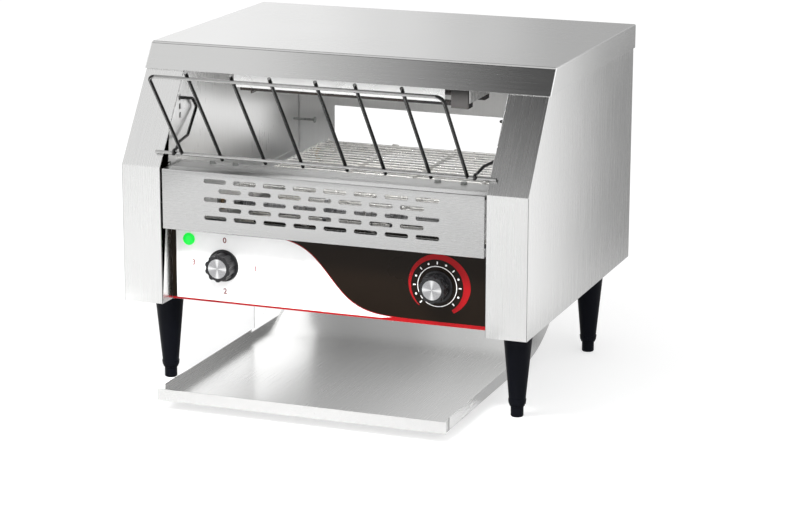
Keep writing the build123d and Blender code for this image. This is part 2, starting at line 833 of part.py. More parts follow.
def make_hood():
    """Upper heater box, open below, with wings that hang on the chamber walls."""
    x = (hood_left, hood_right)
    y = (hood_front, hood_back)
    hood = block(x, y, (hood_bottom, hood_top))
    hood -= block((x[0] + sheet, x[1] - sheet), (y[0] + sheet, y[1] - sheet), (0, hood_top - sheet))
    wing = wall_x - seam_gap
    hood += block((-wing, wing), y, (hood_top, hood_top + sheet))
    notch = (hood_right - hood_notch, hood_right + 1)
    return hood - block(notch, (y[0] - 1, y[0] + sheet), (0, hood_bottom + hood_notch_height))


def make_upper_blocks():
    """Ceramic end blocks of the upper elements, fixed to the hood's right end."""
    blocks = []
    length, width, tall = upper_block
    right = hood_right - sheet - seam_gap
    for y in upper_rows:
        z = (upper_element_z - block_drop, upper_element_z - block_drop + tall)
        piece = block((right - length, right), (y - width / 2, y + width / 2), z)
        bore = six_sided((right - length - 1, right - block_end), y, upper_element_z, element_seat_r)
        blocks.append(piece - bore)
    return Compound(children=blocks)


def make_elements(x, rows, z):
    """Straight twelve-sided tubes, one for each row."""
    section = Plane.YZ.offset(x[0]) * RegularPolygon(element_r, 12)
    tube = extrude(section, x[1] - x[0], dir=(1, 0, 0))
    return Compound(children=[Pos(0, y, z) * tube for y in rows])


def make_upper_elements():
    """Tubular elements under the hood."""
    left = hood_left + element_left_gap
    right = hood_right - sheet - seam_gap - block_end - 1
    return make_elements((left, right), upper_rows, upper_element_z)


def make_upper_hanger():
    """Rib under the hood that holds the elements near their left ends."""
    y = (hood_front + sheet + seam_gap, hood_back - sheet - seam_gap)
    z = (upper_element_z - element_r - 2, hood_top - sheet - seam_gap)
    left = hood_left + hanger_inset
    rib = block((left, left + sheet), y, z)
    for row in upper_rows:
        rib -= six_sided((left - sheet, left + 2 * sheet), row, upper_element_z, element_seat_r)
    return rib


def make_lower_reflector():
    """Shallow pan under the lower elements, with ends turned up."""
    x = (-wall_x + seam_gap, wall_x - seam_gap)
    y = (reflector_front, reflector_back)
    pan = block(x, y, (reflector_z, reflector_z + sheet))
    for edge in (y[0], y[1] - sheet):
        pan += block(x, (edge, edge + sheet), (reflector_z, reflector_z + reflector_rim))
    return pan


def make_lower_blocks():
    """Ceramic end blocks that stand in the pan and hold the lower elements."""
    blocks = []
    half = lower_block / 2
    for x in (hood_left + lower_block_inset, hood_right - lower_block_inset):
        for y in lower_rows:
            z = (reflector_z + sheet, lower_element_z + half - 1)
            piece = block((x - half, x + half), (y - half, y + half), z)
            inner = math.copysign(half + 1, x)
            bore = six_sided((x - inner, x + inner / 2), y, lower_element_z, element_seat_r)
            blocks.append(piece - bore)
    return Compound(children=blocks)


def make_lower_elements():
    """Tubular elements over the pan."""
    left = hood_left + lower_block_inset - 2
    right = hood_right - lower_block_inset + 2
    return make_elements((left, right), lower_rows, lower_element_z)


# ---------------------------------------------------------------- toast slide


def on_curve(turn, radius):
    """Point (y, z) on the slide's curve, turned up from its lowest point by an angle."""
    angle = math.radians(turn)
    return (slide_centre[0] + radius * math.sin(angle), slide_centre[1] - radius * math.cos(angle))


def turn_at(z):
    """Angle at which the curve's outer face reaches a height."""
    return math.degrees(math.acos((slide_centre[1] - z) / slide_radius))


def curved_sheet(low, high, half_width):
    """Sheet that follows the slide's curve between two angles."""
    inner = slide_radius - sheet
    middle = (low + high) / 2
    with BuildSketch(Plane.YZ) as section:
        with BuildLine():
            ThreePointArc(*[on_curve(turn, slide_radius) for turn in (low, middle, high)])
            Line(on_curve(high, slide_radius), on_curve(high, inner))
            ThreePointArc(*[on_curve(turn, inner) for turn in (high, middle, low)])
            Line(on_curve(low, inner), on_curve(low, slide_radius))
        make_face()
    return extrude(section.sketch, half_width, both=True)


def make_deflector():
    """Curved guide behind the belt that turns the toast down and forwards."""
    high = slide_centre[1]
    guide = curved_sheet(turn_at(base_top + 2 * slide_gap), 90, deflector_half_width)
    back = slide_centre[0] + slide_radius
    x = (-deflector_half_width, deflector_half_width)
    guide += block(x, (back - sheet, back), (high, deflector_top))
    ledge = (back - sheet, rear_panel_front - seam_gap)
    return guide + block(x, ledge, (deflector_top - sheet, deflector_top))


def make_cheek():
    """Right-hand cheek of the toast slide, with the flange that rides in its rail."""
    tail = turn_at(cheek_top)
    with BuildSketch(Plane.YZ) as section:
        with BuildLine():
            Polyline(
                on_curve(0, slide_radius),
                (cheek_front, tray_bottom),
                (cheek_front, cheek_top),
                on_curve(tail, slide_radius),
            )
            ThreePointArc(*[on_curve(turn, slide_radius) for turn in (tail, tail / 2, 0)])
        make_face()
    cheek = Pos(tray_half_width - sheet, 0, 0) * extrude(section.sketch, sheet)
    y = (cheek_front, on_curve(tail, slide_radius)[0])
    x = (tray_half_width - sheet, tray_half_width + cheek_flange)
    return cheek + block(x, y, (cheek_top - sheet, cheek_top))


def make_toast_slide():
    """Pan in front, curved tail behind, low lips that rise to cheeks under the body."""
    half = tray_half_width
    pan = block((-half, half), (tray_front, slide_centre[0]), (tray_bottom, tray_bottom + sheet))
    flange_x = half + tray_flange_over
    flange_z = (tray_bottom, tray_bottom + tray_flange)
    pan += block((-flange_x, flange_x), (tray_front, tray_front + sheet), flange_z)
    pan += curved_sheet(0, turn_at(cheek_top - sheet), half)
    lip = block(
        (half - sheet, half), (tray_front + tray_notch, cheek_front), (tray_bottom, tray_bottom + tray_lip)
    )
    for piece in (*both_sides(lip), *both_sides(make_cheek())):
        pan += piece
    return pan


def make_slide_rail():
    """Right-hand rail under the base plate that carries the slide's flange."""
    y = (slide_rail_front, slide_rail_back)
    web = tray_half_width + cheek_flange + slide_rail_gap
    low = cheek_top - sheet - slide_gap - sheet
    rail = block((web, web + sheet), y, (low, base_height))
    rail += block((tray_half_width + slide_rail_gap, web + sheet), y, (low, low + sheet))
    return rail + block((web, web + slide_rail_foot), y, (base_height - sheet, base_height))


# ---------------------------------------------------------------- loading rack


def on_rack(x, distance, lift=0.0):
    """Point on the rack's plane, a distance up the slope and lifted off its upper face."""
    y = rack_y + distance * rack_dir[0] + lift * rack_dir[1]
    z = rack_bar_z + distance * rack_dir[1] - lift * rack_dir[0]
    return (x, y, z)


def rack_frame_path():
    """Frame's path: up the left, across the top and down the right, each corner cut twice."""
    half = rack_half_width
    cuts = [(0, rack_corner_r)]
    cuts.append((rack_corner_r * (1 - math.sqrt(0.5)), rack_corner_r * (1 - math.sqrt(0.5))))
    cuts.append((rack_corner_r, 0))
    left = [on_rack(-half, 0)] + [on_rack(across - half, rack_length - down) for across, down in cuts]
    return left + [(-x, y, z) for x, y, z in reversed(left)]


def rack_rod_places():
    """x of the inner rods, with alternating gaps."""
    first = rack_wide_gap / 2
    second = first + rack_narrow_gap
    third = second + rack_wide_gap
    return [sign * x for x in (first, second, third) for sign in (-1, 1)]


def make_bread_rack():
    """Bent frame wire, cross bar and inner rods, welded into one rack."""
    rack = kinked_wire(rack_frame_path(), rack_wire_r, wire_sides)
    rack += kinked_wire([on_rack(-rack_bar_half, 0), on_rack(rack_bar_half, 0)], rack_wire_r, wire_sides)
    lift = 2 * rack_wire_r - rack_weld
    for x in rack_rod_places():
        low = on_rack(x, -rack_overhang_bottom, lift)
        high = on_rack(x, rack_length + rack_overhang_top, lift)
        rack += kinked_wire([low, high], rack_wire_r, wire_sides)
    return rack


def make_rack_stay():
    """Right-hand stay: hooked over the cross bar, bent back along the wall and up to a slot."""
    grip = rack_wire_r + stay_wire_r + stay_grip_gap
    points = [
        (stay_foot_x, rack_y - grip, rack_bar_z - stay_tail),
        (stay_foot_x, rack_y - grip, rack_bar_z + grip),
        (stay_foot_x, rack_y + grip, rack_bar_z + grip),
    ]
    for x, y, z in (stay_elbow, stay_knee):
        points.append((stay_foot_x + x, hook_y + y, hook_z + z))
    for y, z in (stay_crest, stay_nose, (0, 0)):
        points.append((stay_x, hook_y + y, hook_z + z))
    points.append((wall_x + sheet + stay_through, hook_y, hook_z))
    return kinked_wire(points, stay_wire_r, wire_sides)


# ---------------------------------------------------------------- legs


def make_leg():
    """Tapered sixteen-sided leg with a flange, a round fixing stud and a bored foot end."""
    low = Plane.XY.offset(foot_height + slide_gap) * RegularPolygon(leg_bottom_r, leg_sides)
    high = Plane.XY.offset(base_height - leg_flange) * RegularPolygon(leg_top_r, leg_sides)
    leg = loft([low, high])
    leg += Pos(0, 0, base_height - leg_flange) * extrude(RegularPolygon(leg_flange_r, leg_sides), leg_flange)
    leg += Pos(0, 0, base_height) * Cylinder(leg_stud_r, 2 * leg_stud_length)
    bore = Cylinder(foot_stud_r + run_gap, 2 * (foot_stud_length + leg_stud_r))
    return leg - Pos(0, 0, foot_height) * bore


def make_legs():
    """The four legs under the base plate."""
    leg = make_leg()
    return Compound(children=[Pos(x, y, 0) * leg for _, x, y in leg_places()])


def make_foot():
    """Screwed foot: round pad with a stud that runs up into the leg."""
    pad = extrude(RegularPolygon(foot_r, foot_sides), foot_height)
    pad = chamfer(pad.faces().sort_by(Axis.Z)[0].edges(), foot_chamfer)
    stud = Cylinder(foot_stud_r, foot_stud_length, align=(Align.CENTER, Align.CENTER, Align.MIN))
    return pad + Pos(0, 0, foot_height) * stud


def make_leg_nuts():
    """Nuts on the legs' studs, inside the body."""
    nuts = []
    for _, x, y in leg_places():
        nut = extrude(RegularPolygon(nut_r, 6) - Circle(leg_stud_r + run_gap), nut_height)
        nuts.append(Pos(x, y, base_top) * nut)
    return Compound(children=nuts)


# ---------------------------------------------------------------- fasteners and wiring


def make_rear_screws():
    """Six-sided screws round the rear panel."""
    screws = []
    x = casing_x - sheet - rear_flange / 2
    for side in (-x, x):
        for z in rear_screw_heights:
            head = extrude(RegularPolygon(rear_screw_r, 6), rear_screw_height)
            screws.append(Pos(side, casing_back, z) * Rot(-90, 0, 0) * head)
    return Compound(children=screws)


def make_chamber_pin():
    """Headed pin near the back of the left chamber wall, pointing inwards."""
    tip = pin_length - wall_x
    pin = six_sided((-wall_x, tip), pin_y, pin_z, pin_r)
    return pin + six_sided((tip - pin_head, tip), pin_y, pin_z, pin_head_r)


def make_terminal_block():
    """Supply terminals on the base plate, near the gland."""
    length, depth, tall = terminal_size
    right = gland_x - terminal_gland_gap
    body = block((right - length, right), (terminal_y, terminal_y + depth), (base_top, base_top + tall))
    half = terminal_pitch / 4
    pocket = (base_top + tall / 2, base_top + 2 * tall)
    for n in range(terminal_ways):
        x = right - length / 2 + (n - (terminal_ways - 1) / 2) * terminal_pitch
        for y in (terminal_y + depth * 0.3, terminal_y + depth * 0.7):
            body -= block((x - half, x + half), (y - half, y + half), pocket)
    return body


def build_nodes():
    """Every piece by name, in the building frame."""
    strand = make_strand()
    plain = make_strand(with_joints=False)
    knob = make_knob()
    cap = make_knob_cap()
    spindle = make_spindle()
    stays = both_sides(make_rack_stay())
    casing = both_sides(make_side_casing())
    rails = both_sides(make_slide_rail())
    wall_left = mirror(make_chamber_wall(), about=Plane.YZ)
    nodes = {
        "base_plate": make_base_plate(),
        "side_casing_right": casing[0],
        "side_casing_left": casing[1],
        "chamber_wall_right": make_right_chamber_wall(),
        "chamber_wall_left": wall_left,
        "top_cover": make_top_cover(),
        "rear_panel": make_rear_panel(),
        "cord_gland": make_cord_gland(),
        "vent_panel": make_vent_panel(),
        "apron": make_apron(),
        "apron_screws": make_apron_screws(),
        "control_panel": make_control_panel(),
        "control_overlay": make_control_overlay(),
        "function_switch": Pos(-knob_x, 0, 0) * make_control_body(switch_width, switch_depth),
        "speed_regulator": Pos(knob_x, 0, 0) * make_control_body(regulator_width, regulator_depth),
        "function_knob": Pos(-knob_x, 0, 0) * knob,
        "function_knob_cap": Pos(-knob_x, 0, 0) * cap,
        "function_spindle": Pos(-knob_x, 0, 0) * spindle,
        "speed_knob": Pos(knob_x, 0, 0) * knob,
        "speed_knob_cap": Pos(knob_x, 0, 0) * cap,
        "speed_spindle": Pos(knob_x, 0, 0) * spindle,
        "lamp_lens": make_lamp_lens(),
        "lamp_body": make_lamp_body(),
        "belt_upper_run": make_belt_upper_run(strand),
        "belt_lower_run": make_belt_lower_run(strand),
        "belt_rear_wrap": make_belt_wrap(strand, plain, rear_shaft_y, 0),
        "belt_front_wrap": make_belt_wrap(strand, plain, front_shaft_y, 180),
        "front_shaft": make_front_shaft(),
        "rear_shaft": make_rear_shaft(),
        "front_sprockets": make_sprockets(front_shaft_y),
        "rear_sprockets": make_sprockets(rear_shaft_y),
        "shaft_bushes": make_bushes(),
        "side_rail_left": make_side_rail(rail_left, -wall_x + seam_gap),
        "side_rail_right": make_right_side_rail(),
        "drive_coupling": make_coupling(),
        "gearbox_shaft": make_gearbox_shaft(),
        "gearbox": make_gearbox(),
        "drive_motor": make_motor(),
        "heater_hood": make_hood(),
        "upper_end_blocks": make_upper_blocks(),
        "upper_elements": make_upper_elements(),
        "element_hanger": make_upper_hanger(),
        "lower_reflector": make_lower_reflector(),
        "lower_end_blocks": make_lower_blocks(),
        "lower_elements": make_lower_elements(),
        "rear_deflector": make_deflector(),
        "toast_slide": make_toast_slide(),
        "slide_rails": Compound(children=list(rails)),
        "bread_rack": make_bread_rack(),
        "rack_stays": Compound(children=list(stays)),
        "legs": make_legs(),
        "leg_nuts": make_leg_nuts(),
        "rear_screws": make_rear_screws(),
        "terminal_block": make_terminal_block(),
        "chamber_pin": make_chamber_pin(),
    }
    for place, x, y in leg_places():
        nodes[f"foot_{place}"] = Pos(x, y, 0) * make_foot()
    return nodes


os.makedirs("parts", exist_ok=True)
for name, piece in build_nodes().items():
    export_step(Pos(0, -footprint_middle, 0) * piece, f"parts/{name}.step")
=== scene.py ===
import math
import bpy
import bmesh
from mathutils import Matrix, Vector


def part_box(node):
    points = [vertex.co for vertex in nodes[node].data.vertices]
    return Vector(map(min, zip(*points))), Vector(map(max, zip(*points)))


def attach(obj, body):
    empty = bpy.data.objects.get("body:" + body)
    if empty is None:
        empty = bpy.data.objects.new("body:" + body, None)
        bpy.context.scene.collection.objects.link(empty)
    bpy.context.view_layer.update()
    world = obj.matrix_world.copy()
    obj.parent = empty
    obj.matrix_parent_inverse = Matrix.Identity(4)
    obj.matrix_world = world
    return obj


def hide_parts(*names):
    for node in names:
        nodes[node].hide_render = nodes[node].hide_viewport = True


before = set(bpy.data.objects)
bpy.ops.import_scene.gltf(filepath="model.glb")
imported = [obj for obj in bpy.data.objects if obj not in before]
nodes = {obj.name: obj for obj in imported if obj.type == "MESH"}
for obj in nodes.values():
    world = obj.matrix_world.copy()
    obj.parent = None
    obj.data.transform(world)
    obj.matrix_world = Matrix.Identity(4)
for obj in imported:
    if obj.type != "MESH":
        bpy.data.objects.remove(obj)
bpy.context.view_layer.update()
scene = bpy.context.scene
print("frame loaded:", len(nodes), "nodes")


# Nodes, for finishes and for geometry

def addNode(tree, kind, inputs=None, **settings):
    node = tree.nodes.new(kind)
    for key, value in settings.items():
        setattr(node, key, value)
    for key, value in (inputs or {}).items():
        if isinstance(value, bpy.types.NodeSocket):
            tree.links.new(value, node.inputs[key])
        else:
            node.inputs[key].default_value = value
    return node


def mathOf(tree, operation, first, second=0.0, clamp=False):
    settings = {"operation": operation, "use_clamp": clamp}
    return addNode(tree, "ShaderNodeMath", {0: first, 1: second}, **settings).outputs[0]


def product(tree, first, second, clamp=False):
    return mathOf(tree, "MULTIPLY", first, second, clamp)


def vectorOf(tree, **parts):
    return addNode(tree, "ShaderNodeCombineXYZ", parts).outputs[0]


def partsOf(tree, vector):
    return addNode(tree, "ShaderNodeSeparateXYZ", {0: vector}).outputs


def vectorMath(tree, operation, first, second=(0, 0, 0)):
    return addNode(tree, "ShaderNodeVectorMath", {0: first, 1: second}, operation=operation).outputs


def ranged(tree, value, start=0.0, end=1.0, low=0.0, high=1.0):
    limits = {"From Min": start, "From Max": end, "To Min": low, "To Max": high}
    return addNode(tree, "ShaderNodeMapRange", {"Value": value, **limits}).outputs[0]


def mixValue(tree, factor, first, second):
    return addNode(tree, "ShaderNodeMix", {0: factor, 2: first, 3: second}).outputs[0]


# Finishes. Each is a node material on Object coordinates, in metres.

def newMaterial(name):
    material = bpy.data.materials.new(name)
    material.use_nodes = True
    material.node_tree.nodes.clear()
    return material, material.node_tree


def endFinish(tree, inputs):
    shader = addNode(tree, "ShaderNodeBsdfPrincipled", inputs)
    addNode(tree, "ShaderNodeOutputMaterial", {"Surface": shader.outputs[0]})


def coordinates(tree, kind="Object"):
    return addNode(tree, "ShaderNodeTexCoord").outputs[kind]


def objectPattern(tree, scale, shift=(0, 0, 0)):
    # Object coordinates moved by shift and then stretched by scale
    moved = vectorMath(tree, "SUBTRACT", coordinates(tree), shift)[0]
    return vectorMath(tree, "MULTIPLY", moved, scale)[0]


def noiseOn(tree, vector, detail):
    inputs = {"Vector": vector, "Scale": 1.0, "Detail": detail}
    return addNode(tree, "ShaderNodeTexNoise", inputs).outputs["Fac"]


def noiseOf(tree, scale, detail=3.0, shift=(0, 0, 0)):
    # grey noise in cells per metre, with one scale or its own along x, y and z
    scale = scale if isinstance(scale, tuple) else (scale,) * 3
    return noiseOn(tree, objectPattern(tree, scale, shift), detail)


def spread(tree, value, low, high):
    # noise sits round 0.5, so its middle part is stretched between low and high
    return ranged(tree, value, 0.3, 0.7, low, high)


def mixColour(tree, factor, first, second):
    node = addNode(tree, "ShaderNodeMix", {0: factor}, data_type="RGBA")
    for socket, colour in ((node.inputs[6], first), (node.inputs[7], second)):
        if isinstance(colour, bpy.types.NodeSocket):
            tree.links.new(colour, socket)
        else:
            socket.default_value = (*colour, 1)
    return node.outputs[2]


def toned(tree, share, colour, low, high):
    # from a darker to a lighter shade of one colour
    dark, light = (tuple(min(1, channel * factor) for channel in colour) for factor in (low, high))
    return mixColour(tree, share, dark, light)


def bump(tree, height, strength, depth):
    inputs = {"Strength": strength, "Distance": depth, "Height": height}
    return addNode(tree, "ShaderNodeBump", inputs).outputs[0]


def smoothRamp(tree, value, stops):
    # level (0 to 1) along a value; stops are (value, level)
    low, high = stops[0][0], stops[-1][0]
    ramp = addNode(tree, "ShaderNodeValToRGB", {"Fac": ranged(tree, value, low, high)})
    ramp.color_ramp.interpolation = "EASE"
    elements = ramp.color_ramp.elements
    for place, level in stops[1:-1]:
        elements.new((place - low) / (high - low)).color = (level, level, level, 1)
    elements[0].color = (stops[0][1],) * 3 + (1,)
    elements[len(elements) - 1].color = (stops[-1][1],) * 3 + (1,)
    return ramp.outputs[0]


def faceWay(tree):
    # how far the surface faces sideways (0 to 1) and upwards
    parts = partsOf(tree, coordinates(tree, "Normal"))
    return mathOf(tree, "ABSOLUTE", parts[0]), parts[2]


# What a metal takes where its own entry says nothing else
metalBase = {"contrast": 0.02, "relief": 0.03, "smudge": 0.02, "metallic": 1.0, "grainDepth": 0.0002,
             "grainGloss": 0.03, "smudgesPerMetre": 7}
# an entry with bends gets painted shade and painted highlights on its bends or wire sides
metalFinishes = {
    "casingSteel": {"colour": (0.76, 0.76, 0.755), "roughness": 0.26, "grain": (900, 0, 12), "contrast": 0.03,
                    "anisotropic": 0.5, "along": (0, 0, 1), "upright": True, "bends": "casing"},
    "rearSteel": {"colour": (0.82, 0.82, 0.815), "roughness": 0.32, "grain": (500, 0, 12), "relief": 0.01,
                  "upright": True, "metallic": 0.6},
    "lidSteel": {"colour": (0.70, 0.70, 0.695), "roughness": 0.25, "grain": (12, 900, 900),
                 "anisotropic": 0.5, "along": (1, 0, 0), "bends": "lid"},
    "panelSteel": {"colour": (0.55, 0.55, 0.548), "roughness": 0.27, "grain": (12, 900, 900),
                   "contrast": 0.018, "anisotropic": 0.5, "along": (1, 0, 0)},
    "slideSteel": {"colour": (0.70, 0.70, 0.695), "roughness": 0.25, "grain": (900, 12, 900), "relief": 0.015,
                   "anisotropic": 0.4, "along": (0, 1, 0)},
    "steelBright": {"colour": (0.78, 0.78, 0.775), "roughness": 0.30, "grain": (60, 500, 60), "relief": 0.02,
                    "smudge": 0.03, "anisotropic": 0.2, "along": (0, 1, 0), "metallic": 0.85},
    # apron: a much darker copy of the steel, as painted shade
    "shadedShelfSteel": {"colour": (0.26, 0.26, 0.257), "roughness": 0.30, "grain": (12, 500, 500),
                   "contrast": 0.03, "smudge": 0.04, "metallic": 0.55},
    # rack wire: painted shade on the sides of its wires
    "nickelWire": {"colour": (0.46, 0.46, 0.455), "roughness": 0.17, "grain": (180, 180, 180),
                   "contrast": 0.08, "smudge": 0.05, "bends": "wire"},
    "turnedSteel": {"colour": (0.55, 0.55, 0.56), "roughness": 0.28, "grain": (1500, 40, 40),
                    "contrast": 0.10, "relief": 0.12, "smudge": 0.05},
    "bronze": {"colour": (0.55, 0.38, 0.20), "roughness": 0.32, "grain": (600, 80, 80), "contrast": 0.12,
               "relief": 0.10, "smudge": 0.08},
    "castAlloy": {"colour": (0.58, 0.58, 0.59), "roughness": 0.42, "grain": (700, 700, 700),
                  "contrast": 0.10, "relief": 0.35, "smudge": 0.05},
    "zincPlate": {"colour": (0.40, 0.41, 0.40), "roughness": 0.24, "grain": (500, 500, 500),
                  "contrast": 0.08, "relief": 0.10, "smudge": 0.08},
}

# Painted shade and painted highlights on rolled bends and wire sides, set by which way the surface faces:
# stops are (facing, share of the second colour)
paintedBendLight = {
    "dark": (0.16, 0.16, 0.16), "bright": (0.97, 0.97, 0.97), "paintedWireShade": (0.035, 0.035, 0.035),
    "sideways": 5.0, "wireSideways": 8.0, "frontBelow": 0.08, "turnsUp": ((0.08, 0.0), (0.30, 1.0)),
    "paintedLipLines": ((0.573, 0.0), (0.60, 0.75), (0.66, 0.75), (0.74, 0.0), (0.93, 0.0), (0.965, 0.85),
                 (0.992, 0.85), (1.0, 0.0)),
}


def paintBendLight(tree, colour, kind, look):
    sideways, up = faceWay(tree)
    # wires: painted shade on the sides that face sideways
    if kind == "wire":
        return mixColour(tree, product(tree, sideways, look["wireSideways"], True), colour, look["paintedWireShade"])
    # casing bends: painted shade, and a painted highlight where they turn up to the slant; lid: painted shade
    # lines along its front lip and a painted highlight on its side bends
    rest = mathOf(tree, "SUBTRACT", 1.0, sideways)
    band = product(tree, product(tree, sideways, rest), look["sideways"], True)
    if kind == "casing":
        tone = mixColour(tree, smoothRamp(tree, up, look["turnsUp"]), look["dark"], look["bright"])
        return mixColour(tree, band, colour, tone)
    lines = smoothRamp(tree, up, look["paintedLipLines"])
    front = mathOf(tree, "LESS_THAN", sideways, look["frontBelow"])
    lined = mixColour(tree, product(tree, lines, front), colour, look["dark"])
    return mixColour(tree, band, lined, look["bright"])


def uprightGrain(tree, grain):
    # brushed up and down on every upright face
    sideways, _ = faceWay(tree)
    parts = partsOf(tree, objectPattern(tree, (1, 1, 1)))
    across = mixValue(tree, sideways, parts[0], parts[1])
    return vectorOf(tree, X=product(tree, across, grain[0]), Z=product(tree, parts[2], grain[2]))


def makeMetal(name, look):
    material, tree = newMaterial(name)
    isUpright = look.get("upright")
    lined = uprightGrain(tree, look["grain"]) if isUpright else objectPattern(tree, look["grain"])
    fine = noiseOn(tree, lined, 4.0)
    broad = noiseOf(tree, look["smudgesPerMetre"], 3.0, (0.3, 0.1, 0.7))
    colour = toned(tree, spread(tree, fine, 0, 1), look["colour"], 1 - look["contrast"], 1 + look["contrast"])
    # painted shade and painted highlights on bends and wire sides, by which way the surface faces
    if "bends" in look:
        colour = paintBendLight(tree, colour, look["bends"], paintedBendLight)
    gloss = look["grainGloss"]
    fineRough = spread(tree, fine, look["roughness"] - gloss, look["roughness"] + gloss)
    broadRough = spread(tree, broad, -look["smudge"], look["smudge"])
    inputs = {"Base Color": colour, "Roughness": mathOf(tree, "ADD", fineRough, broadRough, True),
              "Normal": bump(tree, fine, look["relief"], look["grainDepth"]), "Metallic": look["metallic"]}
    if "along" in look:
        inputs["Anisotropic"] = look["anisotropic"]
        inputs["Tangent"] = vectorOf(tree, **dict(zip("XYZ", look["along"])))
    endFinish(tree, inputs)
    return material


mouldedBase = {"ior": 1.5, "tones": (0.90, 1.10), "gloss": (-0.05, 0.06), "cloudsPerMetre": 16,
               "grainDepth": 0.0001}
mouldedFinishes = {
    "blackPhenolic": {"colour": (0.010, 0.010, 0.011), "roughness": 0.26, "grain": 900, "relief": 0.08,
                      "ior": 1.45},
    "legMoulding": {"colour": (0.004, 0.0045, 0.007), "roughness": 0.36, "grain": 700, "relief": 0.10,
                    "ior": 1.14},
    "switchMoulding": {"colour": (0.10, 0.10, 0.11), "roughness": 0.48, "grain": 600, "relief": 0.12},
    "terminalNylon": {"colour": (0.80, 0.79, 0.74), "roughness": 0.45, "grain": 500, "relief": 0.08},
    "steatite": {"colour": (0.78, 0.75, 0.68), "roughness": 0.55, "grain": 400, "relief": 0.30},
    "darkCeramic": {"colour": (0.035, 0.033, 0.032), "roughness": 0.60, "grain": 400, "relief": 0.30},
    "motorEnamel": {"colour": (0.16, 0.17, 0.18), "roughness": 0.38, "grain": 350, "relief": 0.25},
    "filmWhite": {"colour": (0.97, 0.97, 0.97), "roughness": 0.30, "grain": 1400, "relief": 0.03},
    "filmDark": {"colour": (0.008, 0.0045, 0.0022), "roughness": 0.30, "grain": 1400, "relief": 0.03,
                 "ior": 1.24},
    "filmRed": {"colour": (0.33, 0.006, 0.009), "roughness": 0.32, "grain": 1400, "relief": 0.03,
                "ior": 1.24},
    "filmLabel": {"colour": (0.20, 0.008, 0.012), "roughness": 0.34, "grain": 1400, "relief": 0.03},
}


def makeMoulded(name, look):
    material, tree = newMaterial(name)
    fine = noiseOf(tree, look["grain"])
    broad = noiseOf(tree, look["cloudsPerMetre"], 4.0, (0.2, 0.5, 0.1))
    glossier, duller = (look["roughness"] + change for change in look["gloss"])
    endFinish(tree, {"Base Color": toned(tree, spread(tree, broad, 0, 1), look["colour"], *look["tones"]),
                     "Roughness": spread(tree, broad, glossier, duller),
                     "Normal": bump(tree, fine, look["relief"], look["grainDepth"]), "IOR": look["ior"]})
    return material


galvanised = {"colour": (0.52, 0.53, 0.54), "spangleSize": 0.008, "contrast": 0.16, "roughness": (0.29, 0.46)}


def makeGalvanised(name, look):
    # zinc spangles: each cell has its own tone and gloss
    material, tree = newMaterial(name)
    cells = objectPattern(tree, (1 / look["spangleSize"],) * 3)
    spangle = addNode(tree, "ShaderNodeTexVoronoi", {"Vector": cells, "Scale": 1.0}).outputs["Color"]
    tone = addNode(tree, "ShaderNodeSeparateColor", {0: spangle}).outputs
    contrast = look["contrast"]
    endFinish(tree, {"Base Color": toned(tree, tone[0], look["colour"], 1 - contrast, 1 + contrast),
                     "Roughness": ranged(tree, tone[1], 0.0, 1.0, *look["roughness"]), "Metallic": 1.0})
    return material


heatTint = {"bright": (0.92, 0.91, 0.89), "straw": (0.70, 0.62, 0.48), "blued": (0.42, 0.40, 0.40),
            "roughness": (0.20, 0.38), "patch": 22, "metallic": 0.75, "tint": 0.15, "bluedShare": 0.8,
            "bluedFrom": -0.2, "grain": 1200, "relief": 0.15, "grainDepth": 0.0001}
sheathTint = {**heatTint, "bright": (0.05, 0.05, 0.05), "straw": (0.06, 0.045, 0.035),
              "blued": (0.02, 0.02, 0.025), "tint": 0.8}


def makeHeatTinted(name, look):
    # steel that has been hot: bright, straw and blued patches
    material, tree = newMaterial(name)
    patches = noiseOf(tree, look["patch"], 4.0)
    strawed = mixColour(tree, spread(tree, patches, 0, look["tint"]), look["bright"], look["straw"])
    spots = noiseOf(tree, look["patch"] * 3, 3.0, (0.4, 0.2, 0.9))
    bluing = spread(tree, spots, look["bluedFrom"], look["tint"] * look["bluedShare"])
    grain = noiseOf(tree, look["grain"], 2.0)
    endFinish(tree, {"Base Color": mixColour(tree, bluing, strawed, look["blued"]),
                     "Roughness": spread(tree, spots, *look["roughness"]), "Metallic": look["metallic"],
                     "Normal": bump(tree, grain, look["relief"], look["grainDepth"])})
    return material


# spun cap: the glint colour is a painted highlight
spunCap = {"colour": (0.44, 0.44, 0.45), "tones": (0.90, 1.05), "paintedGlint": (0.86, 0.86, 0.87), "sharpness": 9,
           "ringsPerMetre": 2600, "roughness": (0.20, 0.29), "grain": 600, "anisotropic": 0.75,
           "relief": 0.25, "ringDepth": 0.00005}


